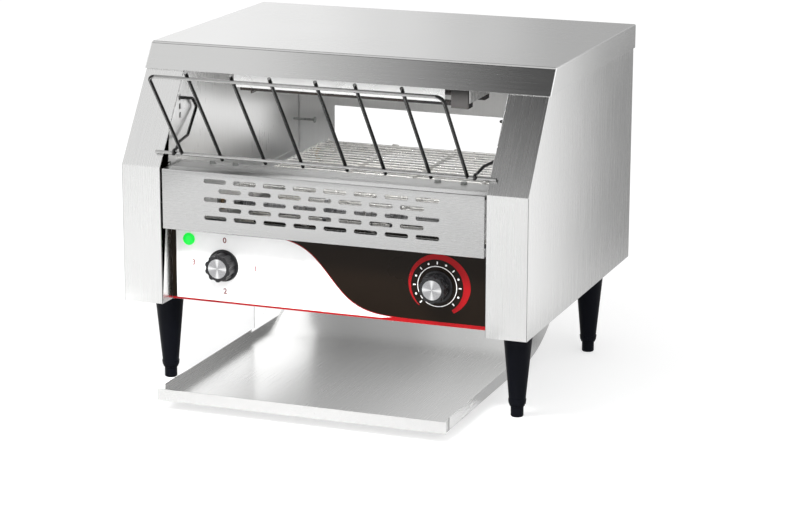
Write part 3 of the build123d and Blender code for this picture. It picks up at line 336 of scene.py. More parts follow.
def makeSpun(name, look, centre):
    # turned face: fine rings round a y axis through centre, and a painted glint in four spokes across it
    material, tree = newMaterial(name)
    flat = objectPattern(tree, (1, 0, 1), centre)
    radius = vectorMath(tree, "LENGTH", flat)["Value"]
    rings = mathOf(tree, "SINE", product(tree, radius, look["ringsPerMetre"] * 2 * math.pi))
    height = ranged(tree, rings, -1.0)
    parts = partsOf(tree, flat)
    # painted glint: four bright spokes by angle round the centre
    angle = product(tree, mathOf(tree, "ARCTAN2", parts[2], parts[0]), 2.0)
    ray = mathOf(tree, "ABSOLUTE", mathOf(tree, "COSINE", angle))
    paintedGlints = mathOf(tree, "POWER", ray, look["sharpness"])
    ringed = toned(tree, height, look["colour"], *look["tones"])
    around = vectorMath(tree, "CROSS_PRODUCT", (0, 1, 0), flat)[0]
    endFinish(tree, {"Base Color": mixColour(tree, paintedGlints, ringed, look["paintedGlint"]), "Metallic": 1.0,
                     "Roughness": spread(tree, noiseOf(tree, look["grain"]), *look["roughness"]),
                     "Normal": bump(tree, height, look["relief"], look["ringDepth"]),
                     "Anisotropic": look["anisotropic"], "Tangent": vectorMath(tree, "NORMALIZE", around)[0]})
    return material


lampGreen = {"colour": (0.0, 0.55, 0.05), "glow": (0.0, 0.80, 0.04), "glowStrength": 0.75, "ribs": 1500,
             "clouds": 220, "roughness": (0.10, 0.20)}


def makeLens(name, look):
    # lit green lens, clouded a little and finely ribbed
    material, tree = newMaterial(name)
    ribs = noiseOf(tree, look["ribs"], 2.0)
    cloud = spread(tree, noiseOf(tree, look["clouds"]), 0, 1)
    endFinish(tree, {"Base Color": toned(tree, cloud, look["colour"], 0.8, 1),
                     "Emission Color": toned(tree, cloud, look["glow"], 0.85, 1),
                     "Emission Strength": look["glowStrength"],
                     "Roughness": spread(tree, ribs, *look["roughness"])})
    return material


finish = {name: makeMetal(name, {**metalBase, **look}) for name, look in metalFinishes.items()}
finish.update({name: makeMoulded(name, {**mouldedBase, **look}) for name, look in mouldedFinishes.items()})
finish["galvanised"] = makeGalvanised("galvanised", galvanised)
finish["beltSteel"] = makeHeatTinted("beltSteel", heatTint)
finish["heaterSheath"] = makeHeatTinted("heaterSheath", sheathTint)
finish["greenLens"] = makeLens("greenLens", lampGreen)
print("finishes made:", len(finish))

# Which CAD pieces take each finish
nodesOf = {
    "casingSteel": "side_casing_left side_casing_right", "lidSteel": "top_cover", "panelSteel": "vent_panel",
    "rearSteel": "rear_panel rear_deflector", "shadedShelfSteel": "apron", "slideSteel": "toast_slide",
    "galvanised": "control_panel base_plate slide_rails",
    "steelBright": "chamber_wall_left chamber_wall_right heater_hood lower_reflector side_rail_left "
                   "side_rail_right",
    "heaterSheath": "element_hanger upper_elements lower_elements", "nickelWire": "bread_rack rack_stays",
    "beltSteel": "belt_upper_run belt_lower_run belt_front_wrap belt_rear_wrap",
    "turnedSteel": "front_shaft rear_shaft gearbox_shaft front_sprockets rear_sprockets drive_coupling "
                   "function_spindle speed_spindle",
    "bronze": "shaft_bushes", "castAlloy": "gearbox", "motorEnamel": "drive_motor",
    "darkCeramic": "upper_end_blocks", "steatite": "lower_end_blocks", "terminalNylon": "terminal_block",
    "blackPhenolic": "function_knob speed_knob cord_gland",
    "switchMoulding": "function_switch speed_regulator lamp_body",
    "filmWhite": "control_overlay", "greenLens": "lamp_lens",
    "legMoulding": "legs foot_front_left foot_front_right foot_back_left foot_back_right",
    "zincPlate": "apron_screws rear_screws leg_nuts chamber_pin",
}
finishOf = {nodeName: finish[name] for name, group in nodesOf.items() for nodeName in group.split()}
for nodeName in ("function_knob_cap", "speed_knob_cap"):
    low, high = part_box(nodeName)
    finishOf[nodeName] = makeSpun(nodeName + "Spun", spunCap, (low + high) / 2)
for nodeName, material in finishOf.items():
    for materialSlot in nodes[nodeName].material_slots:
        materialSlot.material = material
print("nodes without a finish:", [nodeName for nodeName in nodes if nodeName not in finishOf])


# Finished meshes and how they join the frame

def newObject(name, data):
    thing = bpy.data.objects.new(name, data)
    scene.collection.objects.link(thing)
    return thing


def painted(mesh, material):
    mesh.materials.clear()
    mesh.materials.append(material)
    return mesh


def placePiece(name, mesh, body, node=None):
    # stands for a CAD node, or is print on the overlay where no node is given
    piece = newObject(name, mesh)
    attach(piece, body)
    if node:
        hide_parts(node)


def plainMesh(holder):
    # an object's shape with its modifiers applied; the object goes
    graph = bpy.context.evaluated_depsgraph_get()
    mesh = bpy.data.meshes.new_from_object(holder.evaluated_get(graph), depsgraph=graph)
    bpy.data.objects.remove(holder)
    return mesh


def meshFrom(shape, name):
    mesh = bpy.data.meshes.new(name)
    shape.to_mesh(mesh)
    shape.free()
    return mesh


def linesMesh(name, points, edges=(), faces=()):
    mesh = bpy.data.meshes.new(name)
    mesh.from_pydata(points, edges, faces)
    return mesh


def smoothed(mesh, sharpFrom):
    mesh.shade_smooth()
    mesh.set_sharp_from_angle(angle=math.radians(sharpFrom))
    return mesh


def faceForward(mesh, place):
    # turns what points up towards the front, at a place
    mesh.transform(Matrix.Translation(place) @ Matrix.Rotation(math.pi / 2, 4, "X"))


def backCentre(nodeName):
    low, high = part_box(nodeName)
    return ((low.x + high.x) / 2, high.y, (low.z + high.z) / 2)


# Folded sheet: the CAD sheets have knife edges, these have rolled bends and dulled cuts

foldedSheet = {"bendRadius": 0.0018, "lipBend": 0.0028, "cutEdge": 0.00025, "wideFace": 0.003, "segments": 4,
               "flatWithin": 0.6, "edgeFrom": 20, "lidUp": 0.99, "slantUp": (0.3, 0.9)}


def bendRadius(edge, look):
    faceWidths = [face.calc_area() / max(e.calc_length() for e in face.edges) for face in edge.link_faces]
    if min(faceWidths) <= look["wideFace"] or not edge.is_convex:
        return look["cutEdge"]
    ups = sorted(face.normal.z for face in edge.link_faces)
    isLip = ups[1] > look["lidUp"] and look["slantUp"][0] < ups[0] < look["slantUp"][1]
    return look["lipBend"] if isLip else look["bendRadius"]


def softenedSheet(nodeName, look):
    sheet = bmesh.new()
    sheet.from_mesh(nodes[nodeName].data)
    bmesh.ops.remove_doubles(sheet, verts=sheet.verts, dist=1e-6)
    flatAngle = math.radians(look["flatWithin"])
    bmesh.ops.dissolve_limit(sheet, angle_limit=flatAngle, verts=sheet.verts, edges=sheet.edges)
    weight = sheet.edges.layers.float.new("bevel_weight_edge")
    for edge in sheet.edges:
        if len(edge.link_faces) == 2 and edge.calc_face_angle() >= math.radians(look["edgeFrom"]):
            edge[weight] = bendRadius(edge, look) / look["lipBend"]
    mesh = meshFrom(sheet, nodeName + "Folded")
    if "custom_normal" in mesh.attributes:
        mesh.attributes.remove(mesh.attributes["custom_normal"])
    holder = newObject("sheetHolder", smoothed(mesh, look["edgeFrom"]))
    bevel = holder.modifiers.new("bends", "BEVEL")
    bevel.limit_method = "WEIGHT"
    bevel.width = look["lipBend"]
    bevel.segments = look["segments"]
    bevel.use_clamp_overlap = True
    bevel.harden_normals = True
    return plainMesh(holder)


for nodeName in ("side_casing_left", "side_casing_right", "top_cover", "toast_slide", "rear_panel"):
    mesh = painted(softenedSheet(nodeName, foldedSheet), finishOf[nodeName])
    body = nodeName if nodeName == "toast_slide" else "casing"
    placePiece(nodeName + "Folded", mesh, body, nodeName)
print("folded sheets made")


# Repeats are made by Geometry Nodes trees

def shapeOf(tree, kind, inputs=None, **settings):
    return addNode(tree, "GeometryNode" + kind, inputs, **settings).outputs[0]


def gathered(tree, kind, *shapes):
    # node that takes several shapes in its first input
    node = addNode(tree, "GeometryNode" + kind)
    for shape in shapes:
        tree.links.new(shape, node.inputs[0])
    return node.outputs[0]


def newTree(name, inputs):
    # each input has a first value, or only a kind where that can't be given
    tree = bpy.data.node_groups.new(name, "GeometryNodeTree")
    tree.interface.new_socket("Geometry", in_out="INPUT", socket_type="NodeSocketGeometry")
    kinds = {int: "Int", float: "Float", tuple: "Vector"}
    for label, value in {**inputs, "Finish": "Material"}.items():
        isKind = isinstance(value, str)
        socketType = "NodeSocket" + (value if isKind else kinds[type(value)])
        socket = tree.interface.new_socket(label, in_out="INPUT", socket_type=socketType)
        if not isKind:
            socket.default_value = value
    tree.interface.new_socket("Geometry", in_out="OUTPUT", socket_type="NodeSocketGeometry")
    return tree, tree.nodes.new("NodeGroupInput").outputs


def endTree(tree, geometry, material):
    real = shapeOf(tree, "RealizeInstances", {0: geometry})
    finished = shapeOf(tree, "SetMaterial", {"Geometry": real, "Material": material})
    tree.links.new(finished, tree.nodes.new("NodeGroupOutput").inputs[0])
    return tree


def runTree(mesh, tree, finishName, values):
    sockets = {item.name: item.identifier for item in tree.interface.items_tree if item.in_out == "INPUT"}
    holder = newObject("treeHolder", mesh)
    modifier = holder.modifiers.new(tree.name, "NODES")
    modifier.node_group = tree
    for label, value in {**values, "Finish": finish[finishName]}.items():
        modifier[sockets[label]] = value
    return plainMesh(holder)


def tubeAlong(tree, given, sides, bendSteps):
    # round wire along the tree's lines, with its corners bent
    line = shapeOf(tree, "MeshToCurve", {0: given["Geometry"]})
    bends = {"Curve": line, "Radius": given["Bend Radius"], "Limit Radius": True, "Count": bendSteps}
    bent = shapeOf(tree, "FilletCurve", bends, mode="POLY")
    section = shapeOf(tree, "CurvePrimitiveCircle", {"Resolution": sides, "Radius": given["Wire Radius"]})
    return shapeOf(tree, "CurveToMesh", {0: bent, 1: section, "Fill Caps": True})


# Wire belt: one strand, carried along a straight run or round a shaft

belt = {
    "wireRadius": 0.0011, "pitch": 0.0127, "teeth": 8, "halfWidth": 0.130, "middle": -0.008,
    "jointColumns": (-0.040, 0.040), "jointHalfWidth": 0.0055, "taper": 0.0025, "rise": 0.0025,
    "bendRadius": 0.0022, "strandsInRun": 22, "sides": 8, "bendSteps": 3, "sharpFrom": 60,
}


def beltTree(look):
    tree, given = newTree("beltStrands", {
        "Wire Radius": look["wireRadius"], "Bend Radius": look["bendRadius"], "Strands": 1,
        "Start": (0, 0, 0), "Step": (0, 0, 0), "Shaft Radius": 0.016, "Strand Tilt": 0.0, "First Turn": 0.0,
        "Turn": 0.0})
    wire = tubeAlong(tree, given, look["sides"], look["bendSteps"])
    lifted = shapeOf(tree, "Transform", {
        "Geometry": wire, "Translation": vectorOf(tree, Z=given["Shaft Radius"]),
        "Rotation": vectorOf(tree, X=given["Strand Tilt"])})
    points = shapeOf(tree, "MeshLine", {
        "Count": given["Strands"], "Start Location": given["Start"], "Offset": given["Step"]})
    turned = product(tree, shapeOf(tree, "InputIndex"), given["Turn"])
    angle = mathOf(tree, "ADD", given["First Turn"], turned)
    strands = shapeOf(tree, "InstanceOnPoints", {
        "Points": points, "Instance": lifted, "Rotation": vectorOf(tree, X=angle)})
    return endTree(tree, strands, given["Finish"])


def strandLine(look, hooked):
    # centre line of one strand along x; its hooks reach back over the strand before
    half, back, rise = look["halfWidth"], -look["pitch"], look["rise"]
    near = look["jointHalfWidth"]
    far = near - look["taper"]
    points = [(-half, 0, 0), (half, 0, 0)]
    if hooked:
        points = [(-half + look["taper"], back, rise), (-half, 0, 0)]
        for x in look["jointColumns"]:
            points += [(x - near, 0, 0), (x - far, back, rise), (x + far, back, rise), (x + near, 0, 0)]
        points += [(half, 0, 0), (half - look["taper"], back, rise)]
    shifted = [(x + look["middle"], y, z) for x, y, z in points]
    return linesMesh("strandLine", shifted, [(i, i + 1) for i in range(len(shifted) - 1)])


def joinMeshes(meshes, name):
    whole = bmesh.new()
    for mesh in meshes:
        whole.from_mesh(mesh)
    joined = meshFrom(whole, name)
    for material in meshes[0].materials:
        joined.materials.append(material)
    return joined


def shaftStart(nodeName):
    low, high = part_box(nodeName)
    centre = (low + high) / 2
    return (0.0, centre.y, centre.z)


strandTree = beltTree(belt)
pitchRadius = belt["pitch"] / (2 * math.sin(math.pi / belt["teeth"]))
toothTurn = 2 * math.pi / belt["teeth"]
frontShaft = shaftStart("front_shaft")
rearShaft = shaftStart("rear_shaft")


def beltPiece(name, body, node, parts):
    made = []
    for hooked, values in parts:
        values["Shaft Radius"] = pitchRadius
        made.append(runTree(strandLine(belt, hooked), strandTree, "beltSteel", values))
    mesh = joinMeshes(made, name) if len(made) > 1 else made[0]
    placePiece(name, smoothed(mesh, belt["sharpFrom"]), body, node)


def wrapParts(start, firstTurn):
    plain = (False, {"Start": start, "First Turn": firstTurn})
    hooked = (True, {"Strands": belt["teeth"] // 2 - 1, "Start": start, "Strand Tilt": toothTurn / 2,
                     "First Turn": firstTurn - toothTurn, "Turn": -toothTurn})
    return [plain, hooked]


def runPart(start, step, firstTurn):
    values = {"Strands": belt["strandsInRun"], "Start": start, "Step": (0, step, 0), "First Turn": firstTurn}
    return [(True, values)]


beltPiece("beltUpperRun", "belt_upper", "belt_upper_run", runPart(frontShaft, belt["pitch"], 0.0))
beltPiece("beltLowerRun", "belt_lower", "belt_lower_run", runPart(rearShaft, -belt["pitch"], math.pi))
beltPiece("beltRearWrap", "rear_drive", "belt_rear_wrap", wrapParts(rearShaft, 0.0))
beltPiece("beltFrontWrap", "front_idler", "belt_front_wrap", wrapParts(frontShaft, math.pi))
print("belt made")


# Bent wires: rack, stays and heating elements

def wireTree():
    tree, given = newTree("bentWires", {
        "Wire Radius": 0.002, "Bend Radius": 0.004, "Sides": 20, "Bend Steps": 8})
    return endTree(tree, tubeAlong(tree, given, given["Sides"], given["Bend Steps"]), given["Finish"])


bentWires = wireTree()


def wirePiece(name, body, node, lines, radius, bend, finishName):
    points, edges = [], []
    for line in lines:
        edges += [(len(points) + i, len(points) + i + 1) for i in range(len(line) - 1)]
        points += line
    values = {"Wire Radius": radius, "Bend Radius": bend}
    wires = runTree(linesMesh(name + "Lines", points, edges), bentWires, finishName, values)
    placePiece(name, smoothed(wires, 50), body, node)


rack = {
    "wireRadius": 0.002, "foot": (-0.164765, 0.2752), "slope": 51.4, "length": 0.129, "halfWidth": 0.167,
    "barHalf": 0.1993, "cornerRadius": 0.008, "rodLift": 0.0034, "rodOver": (0.010, 0.006),
    "rods": (0.026, 0.0705, 0.1225),
}


def onRack(x, distance, lift=0.0):
    slope = math.radians(rack["slope"])
    along, up = (-math.cos(slope), math.sin(slope)), (math.sin(slope), math.cos(slope))
    foot = rack["foot"]
    return (x, foot[0] + distance * along[0] + lift * up[0], foot[1] + distance * along[1] + lift * up[1])


half, length, barHalf = rack["halfWidth"], rack["length"], rack["barHalf"]
rackLines = [[onRack(-half, 0), onRack(-half, length), onRack(half, length), onRack(half, 0)],
             [onRack(-barHalf, 0), onRack(barHalf, 0)]]
for rodX in rack["rods"]:
    for x in (-rodX, rodX):
        rackLines.append([onRack(x, -rack["rodOver"][0], rack["rodLift"]),
                          onRack(x, length + rack["rodOver"][1], rack["rodLift"])])
wirePiece("rackWires", "loading_rack", "bread_rack", rackLines, rack["wireRadius"], rack["cornerRadius"],
          "nickelWire")

stay = {
    "wireRadius": 0.00175, "bendRadius": 0.003,
    "points": [(0.1760, -0.168665, 0.2737), (0.1760, -0.168665, 0.2791), (0.1760, -0.160865, 0.2791),
               (0.1790, -0.147254, 0.2845), (0.1840, -0.114254, 0.2855), (0.1875, -0.082254, 0.3125),
               (0.1875, -0.093254, 0.3235), (0.1875, -0.118254, 0.3285), (0.1962, -0.118254, 0.3285)],
}
stayLines = [[(side * x, y, z) for x, y, z in stay["points"]] for side in (-1, 1)]
wirePiece("stayWires", "loading_rack", "rack_stays", stayLines, stay["wireRadius"], stay["bendRadius"],
          "nickelWire")

elements = {"radius": 0.00325, "rows": 4, "bendRadius": 0.001}
for nodeName in ("upper_elements", "lower_elements"):
    low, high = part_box(nodeName)
    radius, rows = elements["radius"], elements["rows"]
    z = (low.z + high.z) / 2
    reach = high.y - low.y - 2 * radius
    rowPlaces = [low.y + radius + reach * row / (rows - 1) for row in range(rows)]
    lines = [[(low.x, y, z), (high.x, y, z)] for y in rowPlaces]
    wirePiece(nodeName + "Tubes", "casing", nodeName, lines, radius, elements["bendRadius"], "heaterSheath")
print("wires made")


# Turned pieces

def turned(profile, name, steps=48, lobes=None):
    # profile is (radius, z) from one pole to the other; lobes(angle) scales the radius of marked rings
    mesh = bmesh.new()
    rings = []
    for radius, z, *mark in profile:
        if radius == 0:
            rings.append([mesh.verts.new((0, 0, z))])
            continue
        ring = []
        for step in range(steps):
            angle = 2 * math.pi * step / steps
            local = radius - (mark[0] * lobes(angle) if mark else 0)
            ring.append(mesh.verts.new((local * math.cos(angle), local * math.sin(angle), z)))
        rings.append(ring)
    for below, above in zip(rings, rings[1:]):
        for step in range(steps):
            following = (step + 1) % steps
            corners = [below[step % len(below)], below[following % len(below)],
                       above[following % len(above)], above[step % len(above)]]
            corners = list(dict.fromkeys(corners))
            if len(corners) > 2:
                mesh.faces.new(corners)
    bmesh.ops.recalc_face_normals(mesh, faces=mesh.faces)
    return smoothed(meshFrom(mesh, name), 32)


def rounded(corner, before, after, radius, steps=4):
    # points that round one corner of a profile
    corner, before, after = Vector(corner), Vector(before), Vector(after)
    start = corner + (before - corner).normalized() * radius
    end = corner + (after - corner).normalized() * radius
    shares = [step / steps for step in range(steps + 1)]
    return [tuple((1 - t) ** 2 * start + 2 * t * (1 - t) * corner + t * t * end) for t in shares]


def roundedProfile(corners):
    # corners are (radius, z, rounding); the ends stay sharp
    points = [corners[0][:2]]
    for before, corner, after in zip(corners, corners[1:], corners[2:]):
        if corner[2]:
            points += rounded(corner[:2], before[:2], after[:2], corner[2])
        else:
            points.append(corner[:2])
    return points + [corners[-1][:2]]


# Copies of one piece at the vertices of a mesh

def copyTree():
    tree, given = newTree("copiesAtPoints", {"Piece": "Object", "Rotation": (0, 0, 0)})
    info = addNode(tree, "GeometryNodeObjectInfo", {"Object": given["Piece"], "As Instance": True})
    copies = shapeOf(tree, "InstanceOnPoints", {
        "Points": given["Geometry"], "Instance": info.outputs["Geometry"], "Rotation": given["Rotation"]})
    return endTree(tree, copies, given["Finish"])


copiesAtPoints = copyTree()


def copiesPiece(name, node, shape, points, finishName, rotation=(0, 0, 0)):
    source = newObject(name + "Source", shape)
    values = {"Piece": source, "Rotation": rotation}
    copies = runTree(linesMesh(name + "Points", points), copiesAtPoints, finishName, values)
    bpy.data.objects.remove(source)
    placePiece(name, copies, "casing", node)


leg = {
    "places": (0.210, -0.115754, 0.155746), "foot": 0.0124, "top": 0.103, "bottomRadius": 0.0094,
    "topRadius": 0.0167, "flangeRadius": 0.0196, "flange": 0.0025, "collar": 0.0075, "boreRadius": 0.00405,
    "boreTop": 0.051, "studRadius": 0.004, "studTop": 0.115, "steps": 64,
}
footLook = {"radius": 0.0072, "height": 0.012, "chamfer": 0.001, "studRadius": 0.004, "studTop": 0.048,
            "steps": 40}


def legProfile(look):
    low, collarTop = look["foot"], look["foot"] + look["collar"]
    flangeLow, neck = look["top"] - look["flange"], look["bottomRadius"] - 0.0008
    collarRadius = look["bottomRadius"] + 0.0001
    return roundedProfile([
        (0, look["boreTop"], 0), (look["boreRadius"], look["boreTop"], 0), (look["boreRadius"], low, 0.0003),
        (neck, low, 0.0006), (neck, low + 0.0022, 0),
        (collarRadius, low + 0.0024, 0.0002), (collarRadius + 0.0006, collarTop, 0.0003),
        (look["bottomRadius"], collarTop + 0.0006, 0), (look["topRadius"], flangeLow - 0.0015, 0.0012),
        (look["flangeRadius"] - 0.0004, flangeLow, 0.0006), (look["flangeRadius"], look["top"], 0.0004),
        (look["studRadius"], look["top"], 0), (look["studRadius"], look["studTop"], 0.0005),
        (0, look["studTop"], 0),
    ])


def footProfile(look):
    radius, chamfer, height = look["radius"], look["chamfer"], look["height"]
    stud, top = look["studRadius"], look["studTop"]
    return roundedProfile([(0, 0, 0), (radius - chamfer, 0, 0.0004), (radius, chamfer, 0.0004),
                           (radius, height, 0.0006), (stud, height, 0), (stud, top, 0.0004), (0, top, 0)])


legX, legFront, legBack = leg["places"]
legPoints = [(x, y, 0) for x in (-legX, legX) for y in (legFront, legBack)]
legMesh = turned(legProfile(leg), "legTurned", leg["steps"])
copiesPiece("legMouldings", "legs", legMesh, legPoints, "legMoulding")
for end, y in (("front", legFront), ("back", legBack)):
    for side, x in (("left", -legX), ("right", legX)):
        node = f"foot_{end}_{side}"
        foot = painted(turned(footProfile(footLook), node, footLook["steps"]), finish["legMoulding"])
        foot.transform(Matrix.Translation((x, y, 0)))
        placePiece(node + "Turned", foot, node, node)


# Knobs: fluted grips on a round skirt

knobLook = {
    "gripRadius": 0.0156, "skirtRadius": 0.0183, "skirt": 0.0022, "height": 0.0175, "flutes": 10,
    "fluteDepth": 0.0015, "fluteFrom": 0.25, "fluteSlope": 1.7, "edge": 0.0012, "capRadius": 0.01105,
    "capDepth": 0.0012, "boreRadius": 0.00305, "boreTop": 0.0125, "pointerWidth": 0.0016,
    "pointerRise": 0.0004, "pointerGaps": (0.0016, 0.0008), "steps": 160,
}


def knobMesh(look, name):
    def flute(angle):
        wave = 0.5 - 0.5 * math.cos(look["flutes"] * (angle - math.pi / 2))
        return min(1, max(0, (wave - look["fluteFrom"]) * look["fluteSlope"]))

    deep, top, edge, grip = look["fluteDepth"], look["height"], look["edge"], look["gripRadius"]
    skirt, skirtTop, cap = look["skirtRadius"], look["skirt"], look["capRadius"]
    profile = [(0, look["boreTop"]), (look["boreRadius"], look["boreTop"]), (look["boreRadius"], 0),
               (skirt - 0.0003, 0), (skirt, 0.0003), (skirt, skirtTop - 0.0008), (skirt - 0.0008, skirtTop),
               (grip + 0.0002, skirtTop + 0.0001, deep * 0.6), (grip, skirtTop + 0.0012, deep)]
    for step in range(5):
        turn = math.radians(90 * step / 4)
        profile.append((grip - edge + edge * math.cos(turn), top - edge + edge * math.sin(turn), deep))
    profile += [(cap + 0.0009, top), (cap, top - 0.0003), (cap, top - look["capDepth"]),
                (0, top - look["capDepth"])]
    return turned(profile, name, look["steps"], flute)


def boxMesh(low, high, name):
    mesh = bmesh.new()
    bmesh.ops.create_cube(mesh, size=1.0)
    bmesh.ops.scale(mesh, vec=Vector(high) - Vector(low), verts=mesh.verts)
    bmesh.ops.translate(mesh, vec=(Vector(high) + Vector(low)) / 2, verts=mesh.verts)
    return meshFrom(mesh, name)


def pointerMesh(look):
    half = look["pointerWidth"] / 2
    inner, outer = look["capRadius"] + look["pointerGaps"][0], look["gripRadius"] - look["pointerGaps"][1]
    return boxMesh((-half, inner, look["height"] - 0.001),
                   (half, outer, look["height"] + look["pointerRise"]), "pointer")


for nodeName in ("function_knob", "speed_knob"):
    knob = joinMeshes([knobMesh(knobLook, "grip"), pointerMesh(knobLook)], nodeName + "Grip")
    faceForward(knob, backCentre(nodeName))
    placePiece(nodeName + "Grip", painted(knob, finish["blackPhenolic"]), nodeName, nodeName)

lensLook = {"radius": 0.0069, "out": 0.0044, "rim": 0.0016, "domeSteps": 8}


def lensProfile(look):
    radius, rim, steps = look["radius"], look["rim"], look["domeSteps"]
    profile = [(0, 0), (radius, 0), (radius, rim)]
    for step in range(1, steps):
        turn = math.radians(90 * step / steps)
        profile.append((radius * math.cos(turn), rim + (look["out"] - rim) * math.sin(turn)))
    return profile + [(0, look["out"])]


lens = painted(turned(lensProfile(lensLook), "lensDome"), finish["greenLens"])
faceForward(lens, backCentre("lamp_lens"))
placePiece("lensDome", lens, "casing", "lamp_lens")
print("turned pieces made")


# Screws: six-sided head with rounded corners on a pressed washer

def screwMesh(radius, height, name):
    mesh = bmesh.new()
    washer = (32, radius * 0.98, 0, height * 0.22)
    head = (6, radius * 0.86, height * 0.2, height)
    for sides, wide, low, high in (washer, head):
        ring = bmesh.ops.create_cone(mesh, cap_ends=True, segments=sides, radius1=wide, radius2=wide,
                                     depth=high - low)
        bmesh.ops.translate(mesh, vec=(0, 0, (low + high) / 2), verts=ring["verts"])
    rims = [e for e in mesh.edges if len(e.link_faces) == 2 and e.calc_face_angle() > math.radians(40)]
    bmesh.ops.bevel(mesh, geom=rims, offset=height * 0.06, segments=2, affect="EDGES", clamp_overlap=True)
    return meshFrom(mesh, name)


apronScrew = {"radius": 0.004, "height": 0.0032, "x": (-0.150, -0.122, 0.118, 0.148), "y": -0.121754}
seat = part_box("apron_screws")[0].z
copiesPiece("apronScrewHeads", "apron_screws", screwMesh(apronScrew["radius"], apronScrew["height"], "screw"),
            [(x, apronScrew["y"], seat) for x in apronScrew["x"]], "zincPlate")
rearScrew = {"radius": 0.0038, "height": 0.0022, "heights": (0.135, 0.205, 0.275, 0.345)}
low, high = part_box("rear_screws")
columns = (low.x + rearScrew["radius"], high.x - rearScrew["radius"])
copiesPiece("rearScrewHeads", "rear_screws", screwMesh(rearScrew["radius"], rearScrew["height"], "screw"),
            [(x, low.y, z) for x in columns for z in rearScrew["heights"]], "zincPlate", (-math.pi / 2, 0, 0))


# Vent panel: a folded sheet with staggered round-ended slots

vent = {"sheet": 0.0012, "ledge": 0.0174, "bend": 0.0014, "sharpFrom": 25}
slots = {"Slot Length": 0.027, "Slot Height": 0.005, "Pitch": 0.0356, "Row Pitch": 0.0104, "Top Row": 0.2484,
         "Long Count": 8, "Long Rows": 3, "Short Rows": 2, "Cut Depth": 0.01}


def slotCutter(tree, given):
    # closed prism of one slot, standing through the sheet's face
    box = shapeOf(tree, "CurvePrimitiveQuadrilateral", {
        "Width": given["Slot Length"], "Height": given["Slot Height"]})
    radius = product(tree, given["Slot Height"], 0.499)
    ended = shapeOf(tree, "FilletCurve", {"Curve": box, "Radius": radius, "Count": 8}, mode="POLY")
    flat = shapeOf(tree, "FillCurve", {"Curve": ended}, mode="NGONS")
    raised = shapeOf(tree, "ExtrudeMesh", {
        "Mesh": flat, "Offset Scale": given["Cut Depth"], "Individual": False})
    whole = gathered(tree, "JoinGeometry", raised, shapeOf(tree, "FlipFaces", {0: flat}))
    closed = shapeOf(tree, "MergeByDistance", {"Geometry": whole, "Distance": 0.00001})
    behind = mathOf(tree, "ADD", given["Front"], product(tree, given["Cut Depth"], 0.5))
    return shapeOf(tree, "Transform", {
        "Geometry": closed, "Translation": vectorOf(tree, Y=behind), "Rotation": (math.pi / 2, 0, 0)})


def slotTree(sizes):
    tree, given = newTree("slottedSheet", {**sizes, "Front": 0.0})
    cutter = slotCutter(tree, given)
    step = vectorOf(tree, X=given["Pitch"])
    down = vectorOf(tree, Z=product(tree, given["Row Pitch"], -2.0))
    groups = []
    for shorter, rows in ((0.0, given["Long Rows"]), (1.0, given["Short Rows"])):
        # one row of slots, then the rows one below the other
        count = mathOf(tree, "SUBTRACT", given["Long Count"], shorter)
        gaps = mathOf(tree, "SUBTRACT", count, 1.0)
        start = vectorOf(tree, X=product(tree, product(tree, gaps, given["Pitch"]), -0.5))
        line = shapeOf(tree, "MeshLine", {"Count": count, "Start Location": start, "Offset": step})
        height = mathOf(tree, "SUBTRACT", given["Top Row"], product(tree, given["Row Pitch"], shorter))
        rowLine = shapeOf(tree, "MeshLine", {
            "Count": rows, "Start Location": vectorOf(tree, Z=height), "Offset": down})
        row = shapeOf(tree, "InstanceOnPoints", {"Points": line, "Instance": cutter})
        groups.append(shapeOf(tree, "InstanceOnPoints", {"Points": rowLine, "Instance": row}))
    cutters = shapeOf(tree, "RealizeInstances", {0: gathered(tree, "JoinGeometry", *groups)})
    cut = shapeOf(tree, "MeshBoolean", {"Mesh 1": given["Geometry"], "Mesh 2": cutters},
                  operation="DIFFERENCE", solver="EXACT")
    return endTree(tree, cut, given["Finish"])


def bendArc(centre, radius, start, end, steps=5):
    angles = [math.radians(start + (end - start) * step / steps) for step in range(steps + 1)]
    return [(centre[0] + radius * math.cos(angle), centre[1] + radius * math.sin(angle)) for angle in angles]


def foldedProfile(low, high, look):
    # (y, z) outline: bottom ledge, face and top ledge, bent with one inner radius
    sheet, bend = look["sheet"], look["bend"]
    front, bottom, top = low.y, low.z, high.z
    upper, lower = (front + bend, top - bend), (front + bend, bottom + bend)
    return (bendArc(lower, bend, 270, 180) + bendArc(upper, bend, 180, 90)
            + [(front + look["ledge"], top), (front + look["ledge"], top - sheet)]
            + bendArc(upper, bend - sheet, 90, 180) + bendArc(lower, bend - sheet, 180, 270)
            + [(high.y, bottom + sheet), (high.y, bottom)])


def prism(points, near, far):
    # closed solid between two copies of an outline; near and far give a point's place in space
    shape = bmesh.new()
    ends = [[shape.verts.new(place(*point)) for point in points] for place in (near, far)]
    for end in ends:
        shape.faces.new(end)
    for i in range(len(points)):
        following = (i + 1) % len(points)
        shape.faces.new((ends[0][i], ends[0][following], ends[1][following], ends[1][i]))
    bmesh.ops.recalc_face_normals(shape, faces=shape.faces)
    return shape


low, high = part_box("vent_panel")
ventShape = prism(foldedProfile(low, high, vent), lambda y, z: (low.x, y, z), lambda y, z: (high.x, y, z))
ventMesh = runTree(meshFrom(ventShape, "ventSheet"), slotTree(slots), "panelSteel", {**slots, "Front": low.y})
placePiece("ventSlotted", smoothed(ventMesh, vent["sharpFrom"]), "casing", "vent_panel")
print("vent panel made:", len(ventMesh.polygons), "faces")


# Print on the control overlay, and a painted shade strip at its left end: thin layers on its face

